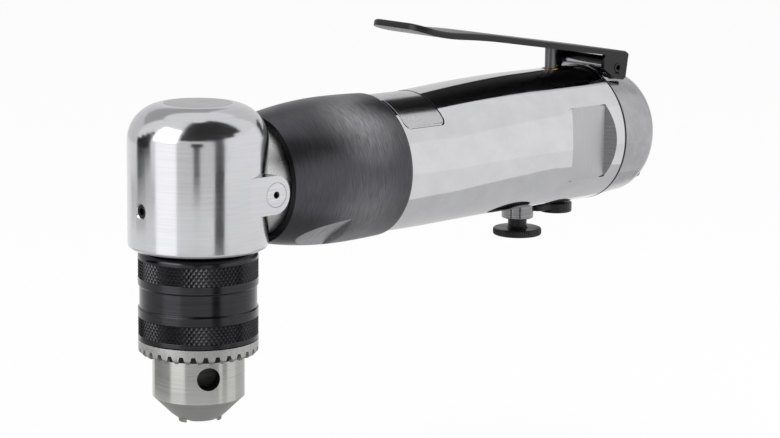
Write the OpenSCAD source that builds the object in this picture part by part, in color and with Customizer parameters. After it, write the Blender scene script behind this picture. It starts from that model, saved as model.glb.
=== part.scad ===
// Right angle air drill with a keyed three-jaw chuck.
// The chuck's nose centre is the origin, the spindle stands along +Z and the handle runs along +X.

/* [Layout] */
// Gap between the chuck's sleeve and the head
chuck_gap = 0.8; // [0.6:0.1:1.2]
// Running clearance of shafts and pivots, on the radius
run_gap = 0.05; // [0.02:0.01:0.09]
// Clearance of fixed round fits, on the radius
seat_gap = 0.02; // [0.01:0.01:0.04]
// Clearance between moving pieces that do not guide each other
free_gap = 0.3; // [0.2:0.05:0.5]

/* [Angle head] */
// Radius of the head beyond the neck's
head_swell = 3.8; // [3.2:0.1:4.4]
// Top of the head above the neck
head_crown = 7.8; // [7.4:0.1:9]
// Bottom of the head below the neck
head_lip = 0.8; // [0.6:0.1:1]
// Radius of the domed top edge
dome_r = 10.6; // [8:0.1:11]
// Rounding of the bottom edge
head_edge_r = 1.2; // [0.5:0.1:2]
// Radius of the bore for the bevel gear and lower bearing
gear_bore_r = 14; // [14:0.1:14.6]
// Top of the gear bore above the handle axis
gear_bore_top = 12.4; // [12.2:0.1:12.8]
// End of the neck behind the spindle axis
neck_end = 33; // [32.6:0.1:33.2]
// Half width of the side lug
lug_half = 5.5; // [4.8:0.1:6]
// Centre of the lug's round end behind the spindle axis
lug_x = 12.5; // [12:0.1:13]
// Lug face inside the head's radius
lug_inset = 0.3; // [0.2:0.1:0.6]
// Lug centre below the handle axis
lug_drop = 0.9; // [0:0.1:2]
// Radius of the grease plug
plug_r = 3.5; // [3:0.1:4]
// Depth of the grease plug
plug_depth = 4; // [3:0.1:5]
// Radius of the grease hole in the plug
grease_hole_r = 0.5; // [0.3:0.1:0.8]
// Radius of the head's set screw
set_screw_r = 1.9; // [1.5:0.1:2.2]
// Set screw below the handle axis
set_screw_drop = 4.8; // [3:0.1:6]
// Hexagon socket of the set screw, across flats
set_screw_key = 2; // [1.5:0.1:2.2]

/* [Spindle] */
// Radius of the spindle's top journal
spindle_top_r = 4; // [3.5:0.1:4.2]
// Outer radius of the top needle bearing
top_bearing_r = 8; // [7:0.1:9]
// Height of the top needle bearing
top_bearing_h = 6; // [5:0.1:7]
// Radius of the bevel gear's seat on the spindle
gear_seat_r = 5.5; // [5.3:0.1:5.7]
// Radius of the spindle in the lower bearing
lower_journal_r = 6; // [5.8:0.1:6.2]
// Height of the bearing retainer
retainer_h = 1.8; // [1.4:0.1:2]
// Radius of the spindle's collar above the chuck
collar_r = 7.2; // [6.8:0.1:7.6]
// Radius of the spindle's thread in the chuck
spindle_thread_r = 4.7; // [4.4:0.05:4.75]
// Length of the spindle's thread in the chuck
spindle_thread_l = 14; // [12:0.5:15]

/* [Gears] */
// Module of the bevel gears
bevel_module = 1.25; // [1.2:0.01:1.26]
// Face width of the bevel gears along their cone
bevel_face = 5; // [4:0.1:5.5]
// Length of the planet gears
planet_l = 9; // [7:0.1:9.4]
// Radius of the planet pins
planet_pin_r = 1.4; // [1.2:0.05:1.6]
// Radius of the carrier shaft
carrier_shaft_r = 4; // [3.6:0.1:4.2]
// Thickness of the carrier disc
carrier_t = 3; // [2.4:0.1:3.2]
// Rim of the carrier disc beyond its pins, on the radius
carrier_rim = 1.7; // [1.2:0.1:2]
// Wall of the neck round the carrier's bearings
neck_wall = 5; // [4.6:0.1:5.6]
// Width of the carrier's bearings
carrier_bearing_w = 7; // [6:0.1:7]
// Front face of the carrier's ball bearing behind the spindle axis
carrier_bearing_x = 17.5; // [17:0.1:18.5]

/* [Coupling sleeve] */
// Front rim of the sleeve behind the spindle axis
sleeve_x0 = 20.5; // [20:0.1:21]
// Rear rim of the sleeve behind the spindle axis
sleeve_x1 = 62.2; // [61.5:0.1:63]
// Largest radius of the sleeve beyond the housing's
sleeve_swell = 1; // [0.7:0.1:1.4]
// Front rim inside the largest radius
sleeve_front_drop = 3.2; // [2.8:0.1:3.5]
// Front rim beyond the head's neck, on the radius
neck_step = 2.3; // [2.2:0.1:2.8]
// Largest radius lies this far behind the spindle axis
sleeve_belly_x = 48; // [46:0.5:50]
// Rear rim inside the largest radius, before its rounding
sleeve_rear_drop = 0.3; // [0.1:0.1:0.4]
// Rounding of the rear rim
sleeve_round = 1.2; // [0.6:0.1:1.6]
// Depth of the spanner flats below the largest radius
sleeve_flat_depth = 1.9; // [1.6:0.1:2.1]
// Rear end of the spanner flats behind the spindle axis
sleeve_flat_end = 41.7; // [40:0.1:44]
// Turn of the spanner flats below the horizontal
sleeve_flat_turn = 55; // [40:1:70]

/* [Motor] */
// Wall of the housing's spigot round the motor
motor_wall = 1.7; // [1.5:0.1:2]
// Front face of the front end plate behind the spindle axis
motor_x0 = 50.4; // [50.2:0.1:51]
// Thickness of the end plates
end_plate_t = 6.6; // [6.4:0.1:7]
// Length of the motor cylinder
cylinder_l = 40; // [36:0.5:42]
// Thinnest wall of the motor cylinder
cylinder_wall = 1.8; // [1.5:0.1:2.1]
// Offset of the cylinder's bore from the rotor axis
cylinder_offset = 1.5; // [1.3:0.1:1.7]
// Smallest gap between rotor and cylinder
rotor_gap = 0.3; // [0.2:0.05:0.5]
// Radius of the rotor shaft
rotor_shaft_r = 3.5; // [3.2:0.1:3.8]
// Outer radius of the rotor bearings
rotor_bearing_r = 9.5; // [9:0.1:10]
// Width of the rotor bearings
rotor_bearing_w = 6; // [5:0.1:6]
// Number of vanes
vane_count = 5; // [4:1:6]
// Thickness of a vane
vane_t = 2; // [1.6:0.1:2.4]
// Rotor left below the vanes, beyond its shaft
vane_floor = 2.2; // [1.8:0.1:2.6]

/* [Motor housing] */
// Radius of the housing behind the sleeve
housing_front_r = 20.5; // [18:0.1:23]
// Growth of the housing's radius at its rear
housing_swell = 0.8; // [0.5:0.1:1.1]
// Rise of the housing's centre at its rear
housing_rise = 1.4; // [1:0.1:1.6]
// Start of the rise behind the spindle axis
housing_rise_x0 = 78; // [76:0.5:80]
// End of the rise behind the spindle axis
housing_rise_x1 = 122; // [118:0.5:124]
// Rear face of the housing behind the spindle axis
housing_end = 150.5; // [150:0.1:151]
// Step from the housing down to its spigot in the sleeve, on the radius
spigot_step = 1.5; // [1.3:0.1:1.8]
// Depth of the spanner flats below the housing's rear radius
flat_depth = 3.3; // [2.9:0.1:3.8]
// Front end of the spanner flats behind the spindle axis
flat_x0 = 129.7; // [128:0.1:131]
// Rear end of the spanner flats behind the spindle axis
flat_x1 = 144.4; // [143:0.1:146]
// Run of the flats' sloped end walls for one unit of depth
flat_slope = 0.7; // [0.4:0.05:1]
// Rear end of the plate behind the spindle axis
plate_end = 78.8; // [77:0.1:80]
// Start of the plate behind the sleeve's end
plate_gap = 1.3; // [0.8:0.1:2]
// Thickness of the plate
plate_t = 0.6; // [0.4:0.1:0.8]
// Half angle that the plate spans over the top
plate_half_turn = 52; // [40:1:60]
// Corner radius of the plate
plate_corner = 1.6; // [1:0.1:2.4]

/* [Rear cap] */
// Thickness of the seam gasket
gasket_t = 0.4; // [0.3:0.1:0.6]
// Depth of the gasket below the housing's surface
gasket_inset = 0.6; // [0.4:0.1:1]
// Length of the cap along its own axis
cap_l = 17.7; // [17:0.1:19]
// Taper of the cap towards its rear, on the radius
cap_taper = 1.9; // [1.4:0.1:2.4]
// Rear rounding of the cap
cap_round = 5.7; // [4:0.1:6.5]
// Downward tilt of the cap's axis
cap_tilt = 3.8; // [3:0.1:4.5]
// Radius of the inlet bushing
inlet_r = 8; // [7.4:0.1:8.4]
// Radius of the inlet thread
inlet_thread_r = 5.6; // [5.2:0.1:5.8]
// Length of the inlet thread
inlet_thread_l = 12; // [10:0.5:13]
// Depth of the inlet bushing's seat in the cap's rear face
inlet_sink = 1.6; // [1.2:0.1:2]
// Height of the inlet bushing's flange
inlet_flange_h = 2; // [1.5:0.1:2.5]
// Radius of the inlet bushing's flange
inlet_flange_r = 9.3; // [8.8:0.1:9.6]
// Radius of the cap screws
cap_screw_r = 1.5; // [1.3:0.1:1.7]
// Radius of the cap screws' heads
cap_screw_head_r = 2.5; // [2.2:0.1:2.7]
// Length of the cap screws below their heads
cap_screw_l = 20.5; // [19.5:0.5:22]
// Cap screws inside the cap's rear radius
cap_screw_inset = 4; // [3.6:0.1:4.4]
// Depth of the cap screws' heads below the cap's rear face
cap_screw_sink = 4.5; // [4.2:0.1:4.9]
// Radius of the exhaust holes
exhaust_r = 1.1; // [0.8:0.1:1.3]
// Radius of the exhaust holes' circle
exhaust_circle = 12; // [11.4:0.1:12.2]
// Depth of the exhaust holes
exhaust_depth = 9; // [6:0.5:12]

/* [Throttle] */
// Pivot of the lever behind the spindle axis
pivot_x = 156; // [155.6:0.1:157]
// Radius of the pivot pin
pivot_pin_r = 1.5; // [1.2:0.1:1.7]
// Hexagon socket in the pivot pin's end, across flats
pivot_key = 1.6; // [1.2:0.1:2]
// Radius of the pivot boss
boss_r = 3.2; // [3:0.1:3.4]
// Half length of the pivot boss
boss_half = 10.4; // [9.5:0.1:10.6]
// Width of the lever
lever_w = 24; // [23.8:0.1:25]
// Sheet thickness of the lever
lever_t = 1.3; // [1:0.1:1.3]
// Length of the lever ahead of its pivot
lever_l = 86; // [83:0.5:89]
// Top of the lever's blade above its pivot
lever_h = 5.45; // [5.3:0.05:5.8]
// Depth of the lever's turned-down edges
lever_flange = 2; // [1.6:0.1:2.4]
// Rise of the released lever towards its tip
lever_tilt = 8.95; // [8.5:0.05:9.5]
// Upturn of the lever's tip
lever_tip_rise = 1.7; // [1.2:0.1:2.2]
// Length of the upturned tip
lever_tip_l = 18; // [15:0.5:20]
// Corner radius of the lever's tip
lever_corner = 6; // [4:0.5:8]
// Lever ears ahead of the pivot
ear_front = 6.3; // [5.8:0.1:6.6]
// Lever ears behind the pivot
ear_rear = 4.1; // [3.8:0.1:4.4]
// Lever ears below the pivot
ear_drop = 3.6; // [3.3:0.1:3.8]
// Throttle stem behind the spindle axis
stem_x = 138; // [137:0.1:138.5]
// Radius of the throttle stem
stem_r = 1.75; // [1.5:0.05:2]
// Radius of the stem's valve head
valve_head_r = 3.6; // [3.2:0.1:3.8]
// Thickness of the valve head
valve_head_t = 2.6; // [2.2:0.1:3]
// Radius of the valve bore
valve_bore_r = 4.2; // [4:0.1:4.3]
// Depth of the valve bore below the housing's top
valve_bore_depth = 22.2; // [21.6:0.1:22.6]
// Depth of the brass bushing below the housing's top
stem_bushing_depth = 10.7; // [10.2:0.1:11]
// Radius of the brass bushing's collar
stem_collar_r = 4.7; // [4.5:0.1:5]
// Height of the collar above the housing's top
stem_collar_h = 0.3; // [0.3:0.05:0.5]
// Wire of the throttle spring
spring_wire = 0.7; // [0.5:0.1:0.8]
// Mean radius of the throttle spring
spring_r = 2.8; // [2.6:0.1:3]
// Coils of the throttle spring
spring_turns = 5; // [4:1:5]

/* [Regulator and reverse lever] */
// Regulator behind the spindle axis
regulator_x = 125; // [124:0.1:126]
// Radius of the regulator bushing
regulator_bushing_r = 5; // [4.6:0.1:5.4]
// Regulator bushing below the housing
regulator_stand = 3.4; // [3:0.1:4]
// Depth of the regulator bushing in the housing
regulator_seat = 4; // [3:0.1:5]
// Radius of the regulator stem
regulator_stem_r = 2.95; // [2.6:0.05:3.1]
// Length of the regulator and reverse stems inside the housing
valve_stem_l = 9.9; // [9:0.1:11]
// Gap between the regulator bushing and its knob
knob_gap = 3.2; // [2.8:0.1:3.6]
// Thickness of the regulator knob
knob_t = 2.2; // [1.8:0.1:3]
// Radius of the regulator knob
knob_r = 7.6; // [7:0.1:8]
// Flutes round the regulator knob
knob_flutes = 48; // [36:1:60]
// Depth of the knob's flutes
knob_flute_depth = 0.35; // [0.2:0.05:0.5]
// Reverse lever behind the spindle axis
reverse_x = 141.7; // [141:0.1:142]
// Radius of the reverse lever's hub
reverse_hub_r = 5.2; // [4.8:0.1:5.4]
// Thickness of the reverse lever's hub
reverse_hub_t = 3; // [2.6:0.1:3.2]
// Reach of the reverse lever's tab from its pivot
reverse_reach = 10.4; // [9.6:0.1:10.6]
// Width of the reverse lever's tab
reverse_tab_w = 5; // [4:0.1:6]
// Thickness of the reverse lever's tab
reverse_tab_t = 1.9; // [1.5:0.1:2.2]

/* [Chuck] */
// Radius of the chuck body
chuck_r = 13.1; // [13:0.1:13.3]
// Radius of the body's nose
nose_r = 5.9; // [5.8:0.1:6.3]
// Radius where the nose's end bevel starts
nose_edge_r = 8; // [7.6:0.1:8.4]
// Height of the nose's end bevel
nose_edge_h = 1.6; // [1.2:0.1:2]
// Start of the nose cone above the nose
nose_cone_h = 6.6; // [6:0.1:7]
// Radius of the bit bore
bit_bore_r = 5.1; // [5:0.05:5.2]
// Depth of the bit bore
bit_bore_l = 27; // [26:0.5:27.5]
// Radius of the key holes
key_hole_r = 3.3; // [3:0.1:3.4]
// Key holes above the nose
key_hole_h = 13.9; // [13.5:0.1:14]
// Depth of the key holes
key_hole_depth = 5.4; // [5:0.1:5.6]
// Turn of the first key hole round the spindle
key_hole_turn = 245.5; // [235:0.5:255]
// Radius of a jaw
jaw_r = 3; // [2.9:0.05:3.05]
// Slant of the jaws
jaw_slant = 12.5; // [12.2:0.1:12.8]
// Jaw axis from the spindle axis, at the nose
jaw_nose_r = 3.6; // [3.4:0.05:3.65]
// Top of the open jaws above the nose
jaw_top = 42.5; // [41:0.1:43]
// Jaw tips below the nose when open
jaw_tip_drop = 0.5; // [0.3:0.1:1]
// Grip edge of the open jaws from the spindle axis
jaw_open_r = 5.15; // [5.15:0.05:5.25]
// Outer trim of the jaws' tops
jaw_trim_r = 15.2; // [15:0.05:15.25]
// Bottom of the toothed ring above the nose
gear_ring_h = 18.9; // [18.7:0.1:19.2]
// Height of the toothed ring
gear_ring_t = 4.2; // [4:0.1:4.6]
// Outer radius of the toothed ring
gear_ring_r = 17; // [16.8:0.1:17.4]
// Teeth of the ring
gear_ring_teeth = 31; // [28:1:34]
// Depth of the ring's teeth
gear_tooth_depth = 2.2; // [1.8:0.1:2.4]
// Width of the gaps between the ring's teeth, at half their depth
gear_tooth_gap = 1.7; // [1.4:0.1:1.9]
// Widening of each side of a gap from there to its mouth
gear_tooth_flare = 0.35; // [0.2:0.05:0.5]
// Radius of the sleeve's knurled bands
chuck_sleeve_r = 17; // [16.8:0.1:17.4]
// Radius of the sleeve's waist
chuck_waist_r = 16.6; // [16.5:0.05:16.7]
// Top of the sleeve above the nose
chuck_sleeve_top = 48.6; // [48.2:0.1:48.8]
// Height of the sleeve's lower band
chuck_lower_band = 9.5; // [9:0.1:10]
// Height of the sleeve's upper band
chuck_upper_band = 9.7; // [9.2:0.1:10.2]
// Inner radius of the sleeve round the jaws
chuck_cavity_r = 15.5; // [15.45:0.05:15.6]
// Height of the chuck nut
nut_h = 6; // [5:0.1:6.2]
// Outer radius of the chuck nut
nut_r = 14.6; // [14.4:0.1:14.8]
// Radius of the body inside the nut
nut_groove_r = 10.6; // [10.4:0.1:10.7]
// Radius of the body inside the sleeve
chuck_upper_r = 12.9; // [12.7:0.05:13]
// Radius of the chuck's retaining screw
chuck_screw_r = 2.4; // [2:0.1:2.6]
// Radius of the retaining screw's head
chuck_screw_head_r = 4.4; // [4:0.1:4.6]
// Height of the retaining screw's head
chuck_screw_head_h = 3; // [2.5:0.1:3.2]

/* [Hidden] */

$fn = 96;
// Overlap of cutting shapes past the faces that they cut
cut = 1;

// Radii along the handle, each from the one outside it
housing_rear_r = housing_front_r + housing_swell;
housing_top = housing_rise + housing_rear_r;
housing_bottom = housing_rear_r - housing_rise;
flat_half = housing_rear_r - flat_depth;
cap_rear_r = housing_rear_r - cap_taper;
cap_screw_circle = cap_rear_r - cap_screw_inset;
sleeve_r = housing_front_r + sleeve_swell;
sleeve_rear_r = sleeve_r - sleeve_rear_drop;
sleeve_front_r = sleeve_r - sleeve_front_drop;
sleeve_flat = sleeve_r - sleeve_flat_depth;
spigot_r = housing_front_r - spigot_step;
motor_r = spigot_r - motor_wall;
cylinder_bore_r = motor_r - cylinder_offset - cylinder_wall;
rotor_r = cylinder_bore_r - cylinder_offset - rotor_gap;
vane_h = rotor_r - rotor_shaft_r - vane_floor;
neck_r = sleeve_front_r - neck_step;
head_r = neck_r + head_swell;
head_top = neck_r + head_crown;
head_drop = neck_r + head_lip;
lug_face = head_r - lug_inset;
// Height of the handle axis above the chuck nose
axis_h = chuck_sleeve_top + chuck_gap + head_drop;
carrier_bearing_r = neck_r - neck_wall;
// The ring gear's pitch and rim fill the neck's radius
planet_module = neck_r / 20;

// Teeth of the bevel pair and of the planet train
bevel_gear_n = 21;
bevel_pinion_n = 12;
sun_n = 9;
planet_n = 12;
ring_n = sun_n + 2 * planet_n;
planets = 3;
pressure_angle = 20;
// Share of a tooth's width that is left as backlash
backlash = 0.16;
bevel_backlash = 0.24;
bevel_gear_pitch_r = bevel_module * bevel_gear_n / 2;
bevel_pinion_pitch_r = bevel_module * bevel_pinion_n / 2;
bevel_cone_l = norm([bevel_gear_pitch_r, bevel_pinion_pitch_r]);
bevel_addendum = 0.8 * bevel_module;
bevel_dedendum = 1.1 * bevel_module;
gear_back = bevel_pinion_pitch_r + 0.6 * bevel_dedendum;
planet_orbit = planet_module * (sun_n + planet_n) / 2;
carrier_r = planet_orbit + planet_pin_r + carrier_rim;
pinion_tip_r = bevel_pinion_pitch_r + bevel_addendum * bevel_gear_pitch_r / bevel_cone_l;

// Places along the handle
carrier_needle_x = neck_end - carrier_bearing_w;
carrier_x0 = neck_end + 1.4;
carrier_x1 = carrier_x0 + carrier_t;
planet_x0 = carrier_x1 + 0.4;
planet_x1 = planet_x0 + planet_l;
cylinder_x0 = motor_x0 + end_plate_t;
cylinder_x1 = cylinder_x0 + cylinder_l;
motor_end = cylinder_x1 + end_plate_t;
rotor_end_gap = 0.25;
cap_x0 = housing_end + gasket_t;
inlet_seat_x = cap_x0 + cap_l - inlet_sink;

// Heights of the throttle, taken from the housing's top and the lever
pivot_h = housing_top;
valve_bore_bottom = housing_top - valve_bore_depth;
stem_bushing_bottom = housing_top - stem_bushing_depth;
blade_under = pivot_h + (lever_h - lever_t) / cos(lever_tilt) + (pivot_x - stem_x) * tan(lever_tilt);
stem_top = blade_under - free_gap;
valve_head_top = stem_bushing_bottom - free_gap;
valve_head_bottom = valve_head_top - valve_head_t;

// Drops of the controls below the handle axis
valve_stem_drop = housing_bottom - valve_stem_l;
regulator_bushing_drop = housing_bottom + regulator_stand;
knob_drop = regulator_bushing_drop + knob_gap;

// Heights of the spindle, above the nose
lower_bearing_z = axis_h - head_drop + retainer_h;
lower_bearing_h = head_drop - retainer_h - pinion_tip_r - free_gap;
screw_seat = bit_bore_l + free_gap + chuck_screw_head_h;
// Length of the jaw channels' cutters past the jaws
jaw_overrun = 10;
thread_z = chuck_sleeve_top - 0.6;
ear_gap = lever_w / 2 - lever_t;

function arc(cx, cy, r, a0, a1, n) =
    [for (i = [0:n]) let (a = a0 + (a1 - a0) * i / n) [cx + r * cos(a), cy + r * sin(a)]];

// Angle, in degrees, of an involute of base radius rb at the radius r
function involute(rb, r) = let (a = acos(min(1, rb / r))) tan(a) * 180 / PI - a;

// Half angle of a gear tooth at the radius r
function tooth_half(n, m, r, thick) =
    let (rp = n * m / 2, rb = rp * cos(pressure_angle))
    90 / n * thick + involute(rb, rp) - involute(rb, max(r, rb));

// Outline of an external gear, with a tooth centred on the angle turn
function gear_outline(n, m, add, ded, thick, turn) =
    let (rp = n * m / 2, radii = [for (i = [0:3]) rp - ded * m + (add + ded) * m * i / 3])
    [for (k = [0:n - 1], i = [0:7])
        let (r = radii[i < 4 ? i : 7 - i], side = i < 4 ? -1 : 1)
        let (a = turn + k * 360 / n + side * tooth_half(n, m, r, thick))
        [r * cos(a), r * sin(a)]];

// Solid turned about +Z from half of its outline
module turned(profile) {
    rotate_extrude() polygon(profile);
}

// Places children on the handle axis, their +Z along +X
module along_x(x) {
    translate([x, 0, axis_h]) rotate([0, 90, 0]) children();
}

module ring(r_out, r_in, h) {
    difference() {
        cylinder(r = r_out, h = h);
        translate([0, 0, -cut]) cylinder(r = r_in, h = h + 2 * cut);
    }
}

// Outer ring of a ball bearing with its balls
module bearing_ring(r_out, r_in, w) {
    ball_r = (r_out - r_in) * 0.24;
    mid_r = (r_out + r_in) / 2;
    count = floor(180 / asin(1.25 * ball_r / mid_r));
    difference() {
        ring(r_out - seat_gap, mid_r + 0.6 * ball_r, w);
        translate([0, 0, w / 2]) rotate_extrude() translate([mid_r, 0]) circle(r = ball_r + run_gap);
    }
    for (i = [0:count - 1])
        rotate([0, 0, 360 * i / count]) translate([mid_r, 0, w / 2]) sphere(r = ball_r, $fn = 24);
}

// Inner ring of a ball bearing
module bearing_race(r_out, r_in, w) {
    ball_r = (r_out - r_in) * 0.24;
    mid_r = (r_out + r_in) / 2;
    difference() {
        ring(mid_r - 0.6 * ball_r, r_in + seat_gap, w);
        translate([0, 0, w / 2]) rotate_extrude() translate([mid_r, 0]) circle(r = ball_r + run_gap);
    }
}

// Skin through circles along X, each given as [x, centre height, radius]
module round_loft(circles, sides) {
    last = len(circles) - 1;
    points = [for (c = circles, i = [0:sides - 1])
        let (a = 360 * i / sides) [c[0], c[2] * cos(a), c[1] + c[2] * sin(a)]];
    walls = [for (j = [0:last - 1], i = [0:sides - 1]) let (n = (i + 1) % sides)
        [j * sides + i, (j + 1) * sides + i, (j + 1) * sides + n, j * sides + n]];
    front = [for (i = [0:sides - 1]) i];
    back = [for (i = [0:sides - 1]) last * sides + sides - 1 - i];
    polyhedron(points = points, faces = concat(walls, [front, back]), convexity = 4);
}

// Straight bevel gear round +Z, with its cone's apex at the origin and a tooth centred on the angle turn
module bevel_teeth(n, pitch_r, turn) {
    slant = asin(pitch_r / bevel_cone_l);
    pitch_z = bevel_cone_l * cos(slant);
    half = PI * bevel_module / 4 * (1 - bevel_backlash);
    corners = [[-1, -bevel_dedendum], [-1, bevel_addendum], [1, bevel_addendum], [1, -bevel_dedendum]];
    outer = [for (k = [0:n - 1], c = corners)
        let (v = c[1], r = pitch_r + v * cos(slant), u = half - v * tan(pressure_angle))
        let (a = turn + k * 360 / n + c[0] * u / r * 180 / PI)
        [r * cos(a), r * sin(a), pitch_z - v * sin(slant)]];
    shrink = 1 - bevel_face / bevel_cone_l;
    inner = [for (p = outer) p * shrink];
    count = len(outer);
    back_z = pitch_z + bevel_dedendum * sin(slant);
    points = concat(outer, inner, [[0, 0, back_z], [0, 0, back_z * shrink]]);
    sides = [for (i = [0:count - 1]) let (j = (i + 1) % count) [i, j, count + j, count + i]];
    backs = [for (i = [0:count - 1]) [2 * count, (i + 1) % count, i]];
    fronts = [for (i = [0:count - 1]) [2 * count + 1, count + i, count + (i + 1) % count]];
    polyhedron(points = points, faces = concat(sides, backs, fronts), convexity = 8);
}

// Round wire wound into an open coil along +Z
module coil(wire, mean_r, height, turns) {
    steps = turns * 8;
    facets = 6;
    climb = (height - wire) / steps;
    points = [for (s = [0:steps], i = [0:facets - 1])
        let (a = s * 45, b = i * 360 / facets, r = mean_r + wire / 2 * cos(b))
        [r * cos(a), r * sin(a), wire / 2 + s * climb + wire / 2 * sin(b)]];
    walls = [for (s = [0:steps - 1], i = [0:facets - 1], h = [0:1])
        let (n = (i + 1) % facets, p = s * facets, q = p + facets)
        h == 0 ? [p + i, q + i, q + n] : [p + i, q + n, p + n]];
    first = [for (i = [0:facets - 1]) i];
    final = [for (i = [0:facets - 1]) steps * facets + facets - 1 - i];
    polyhedron(points = points, faces = concat(walls, [first, final]), convexity = 10);
}

// Angle head and its spindle

module angle_head() {
    bottom = axis_h - head_drop;
    top = axis_h + head_top;
    lug_z = axis_h - lug_drop;
    profile = concat(
        [[0, bottom]],
        arc(head_r - head_edge_r, bottom + head_edge_r, head_edge_r, -90, 0, 5),
        arc(head_r - dome_r, top - dome_r, dome_r, 0, 90, 16),
        [[0, top]]);
    color("silver") difference() {
        union() {
            turned(profile);
            along_x(0) cylinder(r = neck_r, h = neck_end);
            translate([lug_x, 0, lug_z]) rotate([90, 0, 0]) cylinder(r = lug_half, h = lug_face);
            translate([0, -lug_face, lug_z - lug_half]) cube([lug_x, lug_face, 2 * lug_half]);
        }
        translate([0, 0, bottom - cut]) cylinder(r = gear_bore_r, h = head_drop + gear_bore_top + cut);
        translate([0, 0, bottom]) cylinder(r = top_bearing_r, h = head_drop + gear_bore_top + top_bearing_h);
        along_x(0) cylinder(r = carrier_bearing_r, h = neck_end + cut);
        translate([-head_r - cut, 0, axis_h - set_screw_drop]) rotate([0, 90, 0])
            cylinder(r = set_screw_r + seat_gap, h = head_r - gear_bore_r + 2 * cut);
        translate([lug_x, -lug_face - cut, lug_z]) rotate([-90, 0, 0])
            cylinder(r = plug_r + seat_gap, h = plug_depth + cut);
    }
}

module grease_plug() {
    color("lightgray") translate([lug_x, -lug_face, axis_h - lug_drop]) rotate([-90, 0, 0]) difference() {
        cylinder(r = plug_r, h = plug_depth);
        translate([0, 0, -cut]) cylinder(r = grease_hole_r, h = plug_depth / 2 + cut);
    }
}

module head_set_screw() {
    length = head_r - gear_bore_r - 1;
    color("dimgray") translate([-head_r + 0.3, 0, axis_h - set_screw_drop]) rotate([0, 90, 0]) difference() {
        cylinder(r = set_screw_r, h = length);
        translate([0, 0, -cut]) cylinder(r = set_screw_key / sqrt(3), h = length / 2 + cut, $fn = 6);
    }
}

module spindle_top_bearing() {
    color("silver") translate([0, 0, axis_h + gear_bore_top])
        ring(top_bearing_r - seat_gap, spindle_top_r + run_gap, top_bearing_h);
}

module spindle_bearing_ring() {
    color("silver") translate([0, 0, lower_bearing_z])
        bearing_ring(gear_bore_r, lower_journal_r, lower_bearing_h);
}

module spindle_bearing_race() {
    color("silver") translate([0, 0, lower_bearing_z])
        bearing_race(gear_bore_r, lower_journal_r, lower_bearing_h);
}

module bearing_retainer() {
    color("gray") translate([0, 0, axis_h - head_drop])
        ring(gear_bore_r - seat_gap, collar_r + free_gap, retainer_h);
}

module spindle() {
    color("gainsboro") difference() {
        turned([
            [0, thread_z - spindle_thread_l],
            [spindle_thread_r, thread_z - spindle_thread_l],
            [spindle_thread_r, thread_z],
            [collar_r, thread_z],
            [collar_r, lower_bearing_z],
            [lower_journal_r, lower_bearing_z],
            [lower_journal_r, lower_bearing_z + lower_bearing_h],
            [gear_seat_r, lower_bearing_z + lower_bearing_h],
            [gear_seat_r, axis_h + gear_bore_top - free_gap],
            [spindle_top_r, axis_h + gear_bore_top - free_gap],
            [spindle_top_r, axis_h + gear_bore_top + top_bearing_h - free_gap],
            [0, axis_h + gear_bore_top + top_bearing_h - free_gap]]);
        translate([0, 0, thread_z - spindle_thread_l - cut])
            cylinder(r = chuck_screw_r + seat_gap, h = spindle_thread_l + cut);
    }
}

module bevel_gear() {
    hub_top = gear_bore_top - free_gap;
    color("gray") translate([0, 0, axis_h]) difference() {
        union() {
            bevel_teeth(bevel_gear_n, bevel_gear_pitch_r, 0);
            translate([0, 0, gear_back]) cylinder(r = gear_seat_r + 4, h = hub_top - gear_back);
        }
        cylinder(r = gear_seat_r + seat_gap, h = hub_top + cut);
    }
}

// Bevel pinion, carrier and planet train

module bevel_pinion() {
    back = bevel_gear_pitch_r + 0.4 * bevel_dedendum;
    color("gray") along_x(0) difference() {
        union() {
            bevel_teeth(bevel_pinion_n, bevel_pinion_pitch_r, 180 / bevel_pinion_n);
            translate([0, 0, back]) cylinder(r = carrier_shaft_r + 1.6, h = carrier_bearing_x - back);
        }
        cylinder(r = carrier_shaft_r + seat_gap, h = carrier_bearing_x + cut);
    }
}

module carrier_bearing_ring() {
    color("silver") along_x(carrier_bearing_x)
        bearing_ring(carrier_bearing_r, carrier_shaft_r, carrier_bearing_w);
}

module carrier_bearing_race() {
    color("silver") along_x(carrier_bearing_x)
        bearing_race(carrier_bearing_r, carrier_shaft_r, carrier_bearing_w);
}

module carrier_needle_bearing() {
    color("silver") along_x(carrier_needle_x)
        ring(carrier_bearing_r - seat_gap, carrier_shaft_r + run_gap, carrier_bearing_w);
}

module planet_carrier() {
    shaft_front = (bevel_cone_l - bevel_face) / bevel_cone_l * bevel_gear_pitch_r;
    color("gray") difference() {
        union() {
            along_x(shaft_front) cylinder(r = carrier_shaft_r, h = carrier_x1 - shaft_front);
            along_x(carrier_x0) cylinder(r = carrier_r, h = carrier_t);
        }
        planet_places() translate([0, 0, carrier_x0 - cut])
            cylinder(r = planet_pin_r + seat_gap, h = carrier_t + 2 * cut);
    }
}

module planet_place(i) {
    along_x(0) rotate([0, 0, 360 * i / planets]) translate([planet_orbit, 0, 0]) children();
}

module planet_places() {
    for (i = [0:planets - 1]) planet_place(i) children();
}

module planet_pins() {
    color("silver") planet_places() translate([0, 0, carrier_x0])
        cylinder(r = planet_pin_r, h = planet_x1 - carrier_x0);
}

module planet_gear(i) {
    color("darkgray") planet_place(i) translate([0, 0, planet_x0]) difference() {
        linear_extrude(planet_l)
            polygon(gear_outline(planet_n, planet_module, 0.9, 1.15, 1 - backlash, 180 / planet_n));
        translate([0, 0, -cut]) cylinder(r = planet_pin_r + run_gap, h = planet_l + 2 * cut);
    }
}

module planet_gear_1() planet_gear(0);
module planet_gear_2() planet_gear(1);
module planet_gear_3() planet_gear(2);

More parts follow.
